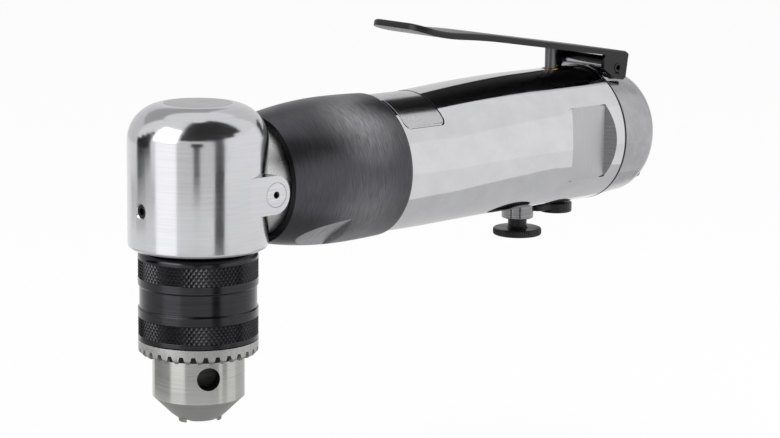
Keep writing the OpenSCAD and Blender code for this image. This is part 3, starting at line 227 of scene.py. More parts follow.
@dataclass(frozen=True)
class Finish:
    """Surface of a piece, with the marks of the tool that made it.

    Attributes:
        name: What the material is and how its surface was made.
        colour: Colour of the clean surface.
        worn: Colour that it takes along its marks.
        roughness: Middle roughness.
        spread: Change of roughness over the marks.
        mark_mm: Width of a tool mark or grain.
        depth_mm: Height of the marks.
        across: Axis that the marks are stacked along, or none for a grain that is alike all ways.
        run_mm: Length of a tool mark. A grain that is alike all ways has none.
        cloud_mm: Size of the patches where handling has changed the gloss.
        cloud: Change of roughness over those patches.
        metallic: 1 for bare metal.
        shine: Strength of the clear reflection on paint and rubber.
        painted_light: Patches of painted shade or painted reflection, laid over the colour.
    """

    name: str
    colour: str
    worn: str
    roughness: float
    spread: float
    mark_mm: float
    depth_mm: float
    across: Axis | None = None
    run_mm: float = 0.0
    cloud_mm: float = 14.0
    cloud: float = 0.06
    metallic: float = 1.0
    shine: float = 0.5
    painted_light: tuple[PaintedPatch, ...] = ()

    def material(self) -> bpy.types.Material:
        """Gives the Blender material of this finish, made once.

        Returns:
            The material, under the finish's name.
        """
        made = bpy.data.materials.get(self.name)
        if made is not None:
            return made
        made = bpy.data.materials.new(self.name)
        made.use_nodes = True
        tree = made.node_tree
        shader = tree.nodes["Principled BSDF"]
        place = add_node(tree, "ShaderNodeTexCoord", {}).outputs["Object"]
        marks = self._marks(tree, place)
        relief = add_node(tree, "ShaderNodeBump",
                          {"Height": marks, "Distance": self.depth_mm * MM, "Strength": 1.0})
        tree.links.new(self._colour(tree, place, marks), shader.inputs["Base Color"])
        tree.links.new(self._roughness(tree, place, marks), shader.inputs["Roughness"])
        tree.links.new(relief.outputs["Normal"], shader.inputs["Normal"])
        shader.inputs["Metallic"].default_value = self.metallic
        shader.inputs["Specular IOR Level"].default_value = self.shine
        return made

    def _marks(self, tree: bpy.types.NodeTree, place: Socket) -> Socket:
        """Draws the tool marks as stretched noise.

        Args:
            tree: Nodes of the material.
            place: Place on the piece.

        Returns:
            Pattern of the marks, from 0 to 1.
        """
        along = self.mark_mm if self.across is None else self.run_mm
        lengths = [self.mark_mm if axis is self.across else along for axis in Axis]
        stretch = add_node(tree, "ShaderNodeMapping",
                           {"Vector": place, "Scale": [1 / (length * MM) for length in lengths]})
        noise = add_node(tree, "ShaderNodeTexNoise",
                         {"Vector": stretch.outputs["Vector"], "Scale": 1.0, "Detail": 3.0, "Roughness": 0.6})
        return noise.outputs["Fac"]

    def _colour(self, tree: bpy.types.NodeTree, place: Socket, marks: Socket) -> Socket:
        """Colours the surface along its marks and lays its painted light and shade over it.

        Args:
            tree: Nodes of the material.
            place: Place on the piece.
            marks: Pattern of the tool marks.

        Returns:
            Colour of the surface.
        """
        tone = add_node(tree, "ShaderNodeValToRGB", {"Fac": marks})
        for stop, position, colour in zip(tone.color_ramp.elements, TONE_STOPS, (self.worn, self.colour)):
            stop.position = position
            stop.color = linear(colour)
        base = tone.outputs["Color"]
        for light_patch in self.painted_light:
            base = light_patch.over(tree, place, marks, base)
        return base

    def _roughness(self, tree: bpy.types.NodeTree, place: Socket, marks: Socket) -> Socket:
        """Varies the gloss along the marks and over handled patches.

        Args:
            tree: Nodes of the material.
            place: Place on the piece.
            marks: Pattern of the tool marks.

        Returns:
            Roughness of the surface.
        """
        least = max(ROUGH_LEAST, self.roughness - self.spread)
        gloss = add_node(tree, "ShaderNodeMapRange",
                         {"Value": marks, "From Min": GLOSS_STOPS[0], "From Max": GLOSS_STOPS[1],
                          "To Min": least, "To Max": self.roughness + self.spread})
        patches = add_node(tree, "ShaderNodeTexNoise",
                           {"Vector": place, "Scale": 1 / (self.cloud_mm * MM), "Detail": 4.0})
        handled = add_node(tree, "ShaderNodeMapRange",
                           {"Value": patches.outputs["Fac"], "From Min": CLOUD_STOPS[0],
                            "From Max": CLOUD_STOPS[1], "To Min": 0.0, "To Max": self.cloud})
        rough = add_node(tree, "ShaderNodeMath", {0: gloss.outputs["Result"], 1: handled.outputs["Result"]})
        return rough.outputs["Value"]


# Aluminium handle, chromed and buffed: a near mirror with only a faint haze.
BUFFED_CHROME = Finish("buffed chrome plate", "#cfcfd1", "#c8c8ca", roughness=0.05, spread=0.02,
                       mark_mm=7, depth_mm=0.003, cloud_mm=20, cloud=0.05)
# Rear cap, polished less than the handle: greyer, and its reflections run together.
SATIN_CHROME = Finish("satin chrome plate", "#a8a8ab", "#9a9a9d", roughness=0.12, spread=0.03,
                      mark_mm=5, depth_mm=0.004, cloud_mm=12, cloud=0.08)
# Spanner flats of the handle, milled after polishing: a shade duller than the skin round them.
MILLED_FLAT = Finish("milled flat", "#b7b7b9", "#b1b1b4", roughness=0.32, spread=0.03,
                     mark_mm=0.4, depth_mm=0.0006, across=Axis.X, run_mm=9, cloud_mm=8, cloud=0.08)
# Sloped ends of those flats, cut by the side of the mill: dull, and dark with painted shade in the recess.
MILLED_END_SHADE = Finish("milled end in painted shade", "#88888b", "#747477", roughness=0.24, spread=0.04,
                    mark_mm=0.4, depth_mm=0.001, across=Axis.Z, run_mm=9, cloud_mm=5, cloud=0.1)
# Head polished with a belt round its side: fine level lines that soften the bright bands.
BELT_POLISH = Finish("belt polished steel", "#cfcfd2", "#c5c5c9", roughness=0.13, spread=0.03,
                     mark_mm=0.15, depth_mm=0.00025, across=Axis.Z, run_mm=18, cloud_mm=7)
# Flat top of the head, ground by itself: greyer than the belt polished side.
GROUND_TOP = Finish("ground head top", "#9c9c9f", "#909093", roughness=0.16, spread=0.03,
                    mark_mm=0.3, depth_mm=0.0004, across=Axis.Y, run_mm=14, cloud_mm=9, cloud=0.08)
# Faced grease plug: bright, with a fine grain.
FACED_STEEL = Finish("faced steel", "#dadadd", "#c3c3c7", roughness=0.2, spread=0.04,
                     mark_mm=0.25, depth_mm=0.0005, across=Axis.Z, run_mm=6, cloud_mm=5, cloud=0.08)
# Neck left as blasted: pale, grainy and dull, with a dark patch of painted shade beside the lug.
BLASTED_CAST = Finish("blasted casting", "#e2e2e2", "#b4b4b4", roughness=0.34, spread=0.08,
                      mark_mm=0.5, depth_mm=0.014, painted_light=(PaintedPatch("#3c3c3c", (19, -14, 73.5), 6),))
# Coupling sleeve in black oxide: dark grey and turned round, with paler patches of painted reflection: a light
# high on the near side and the floor low on it.
BLACK_OXIDE = Finish("turned black oxide steel", "#57575b", "#49494d", roughness=0.34, spread=0.05,
                     mark_mm=0.28, depth_mm=0.001, across=Axis.X, run_mm=4, cloud_mm=11, cloud=0.1,
                     painted_light=(PaintedPatch("#b2b2b6", (48, -14, 82), 17), PaintedPatch("#8a8a8e", (46, -19, 52), 20)))
# Spanner flats of the coupling, where the oxide has worn to grey steel.
WORN_OXIDE = Finish("worn oxide steel", "#c2c2c6", "#a4a4a8", roughness=0.4, spread=0.06,
                    mark_mm=0.4, depth_mm=0.001, across=Axis.X, run_mm=8, cloud_mm=4, cloud=0.1)
# Stamped lever under satin black paint: a soft, even sheen.
SATIN_BLACK = Finish("satin black paint", "#202022", "#19191a", roughness=0.3, spread=0.04,
                     mark_mm=0.8, depth_mm=0.004, metallic=0.0, shine=0.28)
# Screws, pins and small controls, blackened and oiled: nearly black, little sheen. The coupling's front end
# takes it as painted shade in the gap before the head.
OILED_BLACK_AND_GAP_SHADE = Finish("oiled black steel", "#19191a", "#111112", roughness=0.28, spread=0.05,
                     mark_mm=0.4, depth_mm=0.001, across=Axis.Z, run_mm=10, cloud_mm=8, cloud=0.08,
                     metallic=0.0, shine=0.3)
# Chuck sleeve, blackened and glossy.
GLOSS_BLACK = Finish("gloss black steel", "#404043", "#343437", roughness=0.17, spread=0.03,
                     mark_mm=0.3, depth_mm=0.0005, across=Axis.Z, run_mm=16, cloud_mm=8, cloud=0.08)
# Chuck body and spindle: bright steel with fine turned rings.
TURNED_STEEL = Finish("fine turned steel", "#bebebb", "#b2b2af", roughness=0.15, spread=0.02,
                      mark_mm=0.16, depth_mm=0.00012, across=Axis.Z, run_mm=24, cloud_mm=7, cloud=0.05)
# Insides of drilled holes and sockets, and the seam round the plate: rough, oily steel, made dark with painted
# shade in these recesses.
DRILLED_STEEL_AND_SHADE = Finish("drilled oily steel and painted shade", "#565654", "#2e2e2d", roughness=0.4, spread=0.08,
                       mark_mm=0.5, depth_mm=0.01, across=Axis.Z, run_mm=4, cloud_mm=3, cloud=0.1)
# Toothed ring and jaws: bead blasted, duller and paler.
BEAD_BLAST = Finish("bead blasted steel", "#c2c2c1", "#a0a09f", roughness=0.4, spread=0.06,
                    mark_mm=0.3, depth_mm=0.006)
# Ground bushings and the coil spring: grey, with close rings.
GROUND_STEEL = Finish("ground steel", "#949497", "#7a7a7e", roughness=0.16, spread=0.04,
                      mark_mm=0.4, depth_mm=0.0006, across=Axis.Z, run_mm=12)
# Throttle stem, gears and motor pieces, machined and oily: darker and duller than ground steel.
GEAR_STEEL = Finish("machined gear steel", "#77777a", "#58585c", roughness=0.32, spread=0.06,
                    mark_mm=0.5, depth_mm=0.003, across=Axis.X, run_mm=8)
# Brass of the stem bushing and the inlet screen: yellow, with turned rings.
TURNED_BRASS = Finish("turned brass", "#c9a35a", "#a37c38", roughness=0.25, spread=0.05,
                      mark_mm=0.4, depth_mm=0.001, across=Axis.Z, run_mm=10)
# Bare plate: satin, with a fine grain.
SATIN_PLATE = Finish("grained satin plate", "#cacacc", "#adadaf", roughness=0.16, spread=0.05,
                     mark_mm=0.3, depth_mm=0.002, cloud_mm=6, cloud=0.05)
# Pressed fibre of the vanes: brown and dull.
FIBRE = Finish("pressed fibre", "#6b3f22", "#4f2d17", roughness=0.7, spread=0.06,
               mark_mm=0.6, depth_mm=0.01, across=Axis.Y, run_mm=6, metallic=0.0)
# Moulded rubber of the seam gasket: black and dull.
RUBBER = Finish("moulded rubber", "#121212", "#0c0c0c", roughness=0.65, spread=0.05,
                mark_mm=0.5, depth_mm=0.004, metallic=0.0)

# CAD nodes that aren't machined gear steel.
NODE_FINISH: dict[str, Finish] = {
    "rotor_vanes": FIBRE,
    "seam_gasket": RUBBER,
    "inlet_screen": TURNED_BRASS,
    "spindle": TURNED_STEEL,
    "cap_screws": OILED_BLACK_AND_GAP_SHADE,
    "chuck_screw": OILED_BLACK_AND_GAP_SHADE,
    "chuck_nut": OILED_BLACK_AND_GAP_SHADE,
}


def arc(centre: Point, radius: float, start: float, stop: float, steps: int) -> list[Point]:
    """Gives points on an arc, in degrees from start to stop, both ends included."""
    angles = [math.radians(start + (stop - start) * i / steps) for i in range(steps + 1)]
    return [(centre[0] + radius * math.cos(a), centre[1] + radius * math.sin(a)) for a in angles]


def turned(profile: Sequence[Point], axis: Axis, steps: int, height: float = 0.0) -> bmesh.types.BMesh:
    """Turns a closed outline into a solid of revolution.

    Args:
        profile: Radius and place along the axis, in millimetres, going round the section.
        axis: Row axis that it is turned about, or a line beside it.
        steps: Sides of the round.
        height: Height of that line above the row axis, in millimetres.

    Returns:
        A closed mesh in metres.
    """
    bm = bmesh.new()
    centre = Vector((0, 0, height))
    out = Vector((0, 0, 1)) if axis is Axis.X else Vector((1, 0, 0))
    points = [bm.verts.new((centre + out * r + axis.vector * h) * MM) for r, h in profile]
    pairs = zip(points, points[1:] + points[:1], list(profile), list(profile[1:]) + list(profile[:1]))
    edges = [bm.edges.new((a, b)) for a, b, p, q in pairs if max(p[0], q[0]) > 0]
    bmesh.ops.spin(bm, geom=points + edges, axis=axis.vector, cent=centre * MM, angle=math.tau, steps=steps,
                   use_merge=True)
    bmesh.ops.remove_doubles(bm, verts=bm.verts, dist=WELD)
    bmesh.ops.recalc_face_normals(bm, faces=bm.faces)
    return bm


def rod(start: Vector, direction: Vector, radius: float, length: float,
        sides: int = Sides.PIN) -> bmesh.types.BMesh:
    """Makes a straight round rod.

    Args:
        start: Centre of its first end, in millimetres.
        direction: The way that it runs.
        radius: Its radius in millimetres.
        length: Its length in millimetres.
        sides: Sides of the round.

    Returns:
        A closed mesh in metres.
    """
    bm = bmesh.new()
    turn = direction.to_track_quat("Z", "Y").to_matrix().to_4x4()
    place = Matrix.Translation((start + direction.normalized() * length / 2) * MM) @ turn
    bmesh.ops.create_cone(bm, cap_ends=True, segments=sides, radius1=radius * MM, radius2=radius * MM,
                          depth=length * MM, matrix=place)
    return bm


def block(low: Sequence[float], high: Sequence[float], turn: Matrix | None = None) -> bmesh.types.BMesh:
    """Makes a box between two corners.

    Args:
        low: Its lowest corner, in millimetres.
        high: Its highest corner, in millimetres.
        turn: Move that it gets afterwards, in metres.

    Returns:
        A closed mesh in metres.
    """
    bm = bmesh.new()
    low, high = Vector(low), Vector(high)
    size = Matrix.Diagonal((*((high - low) * MM), 1.0))
    bmesh.ops.create_cube(bm, size=1.0, matrix=Matrix.Translation((low + high) / 2 * MM) @ size)
    if turn is not None:
        bmesh.ops.transform(bm, matrix=turn, verts=bm.verts)
    return bm


def bevel(bm: bmesh.types.BMesh, edges: list[bmesh.types.BMEdge], width_mm: float, segments: int) -> None:
    """Rounds some edges of a mesh."""
    bmesh.ops.bevel(bm, geom=edges, offset=width_mm * MM, segments=segments, profile=0.5, affect="EDGES",
                    material=-1)


def shift_x(bm: bmesh.types.BMesh, x: float) -> None:
    """Moves a mesh along the row by millimetres."""
    bmesh.ops.translate(bm, verts=bm.verts, vec=(x * MM, 0, 0))


def node_mesh(node: str) -> bmesh.types.BMesh:
    """Copies the mesh of a CAD node and merges its loose triangles.

    Args:
        node: CAD node to copy.

    Returns:
        A closed mesh in metres.
    """
    bm = bmesh.new()
    bm.from_mesh(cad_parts[node].data)
    bmesh.ops.remove_doubles(bm, verts=bm.verts, dist=MERGE)
    return bm


def flatten(bm: bmesh.types.BMesh) -> bmesh.types.BMesh:
    """Makes the triangles of each flat face of a mesh one face, and gives the mesh back."""
    bmesh.ops.dissolve_limit(bm, angle_limit=math.radians(FLAT_DEG), verts=bm.verts, edges=bm.edges)
    return bm


def raw_object(name: str, bm: bmesh.types.BMesh) -> bpy.types.Object:
    """Puts a mesh into the scene.

    Args:
        name: Name of the new object.
        bm: Its mesh, which is used up.

    Returns:
        The new object.
    """
    mesh = bpy.data.meshes.new(name)
    bm.to_mesh(mesh)
    bm.free()
    made = bpy.data.objects.new(name, mesh)
    bpy.context.scene.collection.objects.link(made)
    return made


def discard(piece: bpy.types.Object) -> None:
    """Takes a helper out of the scene with its mesh.

    Args:
        piece: The helper.
    """
    mesh = piece.data
    bpy.data.objects.remove(piece)
    bpy.data.meshes.remove(mesh)


def carve(piece: bpy.types.Object, tools: Sequence[tuple[Cut, bmesh.types.BMesh]]) -> None:
    """Adds shapes to a piece, or cuts them out of it, and keeps the result as its mesh.

    Args:
        piece: Object that is changed.
        tools: Each shape with what it does, in order.
    """
    helpers = []
    for number, (cut, bm) in enumerate(tools):
        bmesh.ops.recalc_face_normals(bm, faces=bm.faces)
        helper = raw_object(f"tool_{number}", bm)
        step = piece.modifiers.new(f"step_{number}", "BOOLEAN")
        step.operation = cut.value
        step.solver = "EXACT"
        step.object = helper
        helpers.append(helper)
    graph = bpy.context.evaluated_depsgraph_get()
    result = bpy.data.meshes.new_from_object(piece.evaluated_get(graph))
    piece.modifiers.clear()
    old = piece.data
    piece.data = result
    bpy.data.meshes.remove(old)
    for helper in helpers:
        discard(helper)


def round_edges(piece: bpy.types.Object, width_mm: float) -> None:
    """Breaks the sharp edges of a piece with a live bevel.

    Args:
        piece: The piece.
        width_mm: Width of the rounding.
    """
    edge = piece.modifiers.new("broken edges", "BEVEL")
    edge.width = width_mm * MM
    edge.segments = 2
    edge.limit_method = "ANGLE"
    edge.angle_limit = math.radians(35)
    edge.harden_normals = True


def dress(piece: bpy.types.Object, finish: Finish, body: str, nodes: Sequence[str] = (),
          more: Sequence[Finish] = (), crease_deg: float = 32.0) -> bpy.types.Object:
    """Smooths a piece, gives it its finish and lets it ride on its CAD body.

    Args:
        piece: The finished mesh.
        finish: Its surface.
        body: CAD body that it moves with.
        nodes: CAD nodes that it stands for.
        more: Further finishes that some of its faces take, numbered from 1.
        crease_deg: Edges sharper than this stay crisp.

    Returns:
        The same piece.
    """
    piece.data.shade_smooth()
    piece.data.set_sharp_from_angle(angle=math.radians(crease_deg))
    piece.data.materials.clear()
    for layer in (finish, *more):
        piece.data.materials.append(layer.material())
    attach(piece, body)
    if nodes:
        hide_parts(*nodes)
    LOG.info("piece %s: %d faces on %s", piece.name, len(piece.data.polygons), body)
    return piece


def smooth_copy(node: str, finish: Finish, body: str, edge_mm: float) -> None:
    """Stands a smooth copy with broken edges in for a CAD node.

    Args:
        node: CAD node to copy.
        finish: Its surface.
        body: CAD body that it moves with.
        edge_mm: Width of its broken edges.
    """
    copy = raw_object(f"finished_{node}", flatten(node_mesh(node)))
    round_edges(dress(copy, finish, body, [node]), edge_mm)


def span(node: str) -> tuple[Vector, Vector]:
    """Gives the lowest and highest corner of a CAD node in millimetres."""
    low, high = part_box(node)
    return low / MM, high / MM


def axis_height() -> float:
    """Gives the height of the handle axis, in millimetres."""
    low, high = span("motor_cylinder")
    return (low.z + high.z) / 2


@dataclass
class AngleHead:
    """Domed head with its neck, side lug and plugs. Sizes in millimetres."""

    dome_radius: float = 10.6
    edge_radius: float = 1.2
    neck_radius: float = 16.0
    neck_start: float = 2.0
    gear_bore: float = 14.0
    gear_bore_top: float = 12.4
    neck_bore: float = 11.0
    lug_half: float = 5.5
    lug_end_x: float = 17.2
    lug_corner: float = 5.2
    lug_centre_x: float = 12.5
    lug_drop: float = 0.9
    lug_face: float = 19.5
    plug_radius: float = 3.52
    plug_gap: float = 0.07
    plug_depth: float = 4.0
    plug_hole: float = 0.6
    plug_mouth: float = 1.0
    plug_hole_depth: float = 2.0
    screw_radius: float = 1.92
    screw_drop: float = 4.8
    screw_bevel: float = 0.4
    screw_depth: float = 7.0
    top_cosine: float = 0.999

    def build(self) -> None:
        """Makes the head as one polished piece and dresses its two plugs."""
        low, high = span("angle_head")
        radius = -low.x
        axis_z = axis_height()
        lug_z = axis_z - self.lug_drop
        profile = [(0.0, low.z)]
        profile += arc((radius - self.edge_radius, low.z + self.edge_radius), self.edge_radius, -90, 0, 6)
        profile += arc((radius - self.dome_radius, high.z - self.dome_radius), self.dome_radius, 0, 90, 32)
        profile += [(0.0, high.z)]
        head = raw_object("head_casting", turned(profile, Axis.Z, Sides.SKIN))
        carve(head, self._tools(low, high, axis_z))
        dress(head, BELT_POLISH, "housing", ["angle_head"], [BLASTED_CAST, GROUND_TOP])
        for face in head.data.polygons:
            centre = face.center / MM
            if face.normal.z > self.top_cosine:
                face.material_index = 2
            elif math.hypot(centre.x, centre.y) > radius + HAIR and centre.y > HAIR - self.lug_face:
                face.material_index = 1
        round_edges(head, SOFT_EDGE)
        self._plug(lug_z)
        smooth_copy("head_set_screw", OILED_BLACK_AND_GAP_SHADE, "housing", FINE_EDGE)

    def _tools(self, low: Vector, high: Vector, axis_z: float) -> list[tuple[Cut, bmesh.types.BMesh]]:
        """Gives the shapes that are added to the domed head and cut out of it.

        Args:
            low: Lowest corner of the head.
            high: Highest corner of the head.
            axis_z: Height of the handle axis.

        Returns:
            Each shape with what it does.
        """
        x_way, y_way, z_way = (axis.vector for axis in Axis)
        lug_z = axis_z - self.lug_drop
        screw_z = axis_z - self.screw_drop
        front = low.x - OVER
        wide = self.screw_radius + OVER + self.screw_bevel
        mouth = [(0.0, front), (wide, front), (self.screw_radius, low.x + self.screw_bevel),
                 (0.0, low.x + self.screw_bevel)]
        bore_run = axis_z + self.gear_bore_top + OVER - low.z
        plug = Vector((self.lug_centre_x, -self.lug_face - OVER, lug_z))
        return [
            (Cut.ADD, rod(Vector((self.neck_start, 0, axis_z)), x_way, self.neck_radius,
                          high.x - self.neck_start, Sides.NECK)),
            (Cut.ADD, self._lug(lug_z)),
            (Cut.REMOVE, rod(Vector((0, 0, low.z - OVER)), z_way, self.gear_bore, bore_run, Sides.BORE)),
            (Cut.REMOVE, rod(Vector((0, 0, axis_z)), x_way, self.neck_bore, high.x + OVER, Sides.BORE)),
            (Cut.REMOVE, rod(Vector((front, 0, screw_z)), x_way, self.screw_radius, self.screw_depth + OVER)),
            (Cut.REMOVE, turned(mouth, Axis.X, Sides.PIN, screw_z)),
            (Cut.REMOVE, rod(plug, y_way, self.plug_radius, self.plug_depth + OVER)),
        ]

    def _lug(self, height: float) -> bmesh.types.BMesh:
        """Makes the side lug with its two round corners.

        Args:
            height: Height of its middle.

        Returns:
            A closed mesh in metres.
        """
        bm = block((0, -self.lug_face, height - self.lug_half), (self.lug_end_x, 0, height + self.lug_half))
        end = (self.lug_end_x - HAIR) * MM
        corners = [e for e in bm.edges if all(v.co.x > end for v in e.verts)
                   and abs(e.verts[0].co.y - e.verts[1].co.y) > MERGE]
        bevel(bm, corners, self.lug_corner, 12)
        return bm

    def _plug(self, height: float) -> None:
        """Turns the grease plug, with its socket painted dark as shade.

        Args:
            height: Height of its middle.
        """
        face = -self.lug_face
        radius = self.plug_radius - self.plug_gap
        floor = face + self.plug_hole_depth
        section = [(0.0, floor), (self.plug_hole, floor),
                   (self.plug_hole, face + self.plug_mouth - self.plug_hole), (self.plug_mouth, face),
                   (radius, face), (radius, face + self.plug_depth), (0.0, face + self.plug_depth)]
        bm = turned(section, Axis.Y, Sides.SMALL, height)
        shift_x(bm, self.lug_centre_x)
        plug = dress(raw_object("faced_plug", bm), FACED_STEEL, "housing", ["grease_plug"],
                     [DRILLED_STEEL_AND_SHADE])
        # Faces inside the socket take the dark drilled finish: painted shade.
        for side in plug.data.polygons:
            centre = side.center / MM
            away = math.hypot(centre.x - self.lug_centre_x, centre.z - height)
            if away < self.plug_mouth and centre.y > face + HAIR:
                side.material_index = 1
        round_edges(plug, CRISP_EDGE)


@dataclass
class CouplingSleeve:
    """Dark turned sleeve between head and handle, with two spanner flats. Sizes in millimetres."""

    front_radius: float = 18.3
    belly_radius: float = 21.5
    belly_x: float = 48.0
    belly_steps: int = 24
    rear_radius: float = 21.2
    rear_round: float = 1.2
    rear_steps: int = 8
    front_bore: float = 16.3
    rear_bore: float = 19.02
    step_x: float = 50.0
    flat: float = 19.6
    flat_end: float = 41.7
    flat_turn: float = 55.0
    facing_cosine: float = 0.9

    def build(self) -> None:
        """Makes the sleeve and cuts its flats."""
        low, high = span("coupling_sleeve")
        axis_z = axis_height()
        sleeve = raw_object("dark_coupling", turned(self._section(low.x, high.x), Axis.X, Sides.SKIN, axis_z))
        wide = self.belly_radius + 2 * OVER
        tools = []
        for side in (0, 180):
            spin = Matrix.Rotation(math.radians(self.flat_turn + side), 4, "X")
            turn = Matrix.Translation((0, 0, axis_z * MM)) @ spin
            cutter = block((low.x - OVER, -wide, -wide), (self.flat_end, -self.flat, wide), turn)
            tools.append((Cut.REMOVE, cutter))
        carve(sleeve, tools)
        dress(sleeve, BLACK_OXIDE, "housing", ["coupling_sleeve"], [WORN_OXIDE, OILED_BLACK_AND_GAP_SHADE])
        across = Matrix.Rotation(math.radians(self.flat_turn), 3, "X") @ Axis.Y.vector
        for face in sleeve.data.polygons:
            centre = face.center / MM
            depth = abs((centre - Vector((0, 0, axis_z))).dot(across))
            on_flat = abs(face.normal.dot(across)) > SAME_WAY and depth < self.flat + HAIR
            # The front end face, in the gap before the head, takes the near-black finish: painted shade.
            if face.normal.x < -self.facing_cosine and centre.x < low.x + HAIR:
                face.material_index = 2
            elif on_flat or face.normal.x < -SAME_WAY:
                face.material_index = 1
        round_edges(sleeve, SOFT_EDGE)

    def _section(self, start: float, stop: float) -> list[Point]:
        """Gives the sleeve's section, which swells to its belly and eases off behind it.

        Args:
            start: Place of its front end.
            stop: Place of its rear end.

        Returns:
            Radius and place along the axis of each corner.
        """
        rise = self.belly_radius - self.front_radius
        fall = self.belly_radius - self.rear_radius
        run = self.belly_x - start
        tail = stop - self.rear_round - self.belly_x
        section = [(self.front_bore, start)]
        for i in range(self.belly_steps + 1):
            swell = 1 - (1 - i / self.belly_steps) ** 2
            section.append((self.front_radius + rise * swell, start + run * i / self.belly_steps))
        for i in range(1, self.rear_steps):
            ease = (i / self.rear_steps) ** 2
            section.append((self.belly_radius - fall * ease, self.belly_x + tail * i / self.rear_steps))
        section += arc((self.rear_radius - self.rear_round, stop - self.rear_round), self.rear_round, 0, 90,
                       self.rear_steps)
        section += [(self.rear_bore, stop), (self.rear_bore, self.step_x), (self.front_bore, self.step_x)]
        return section


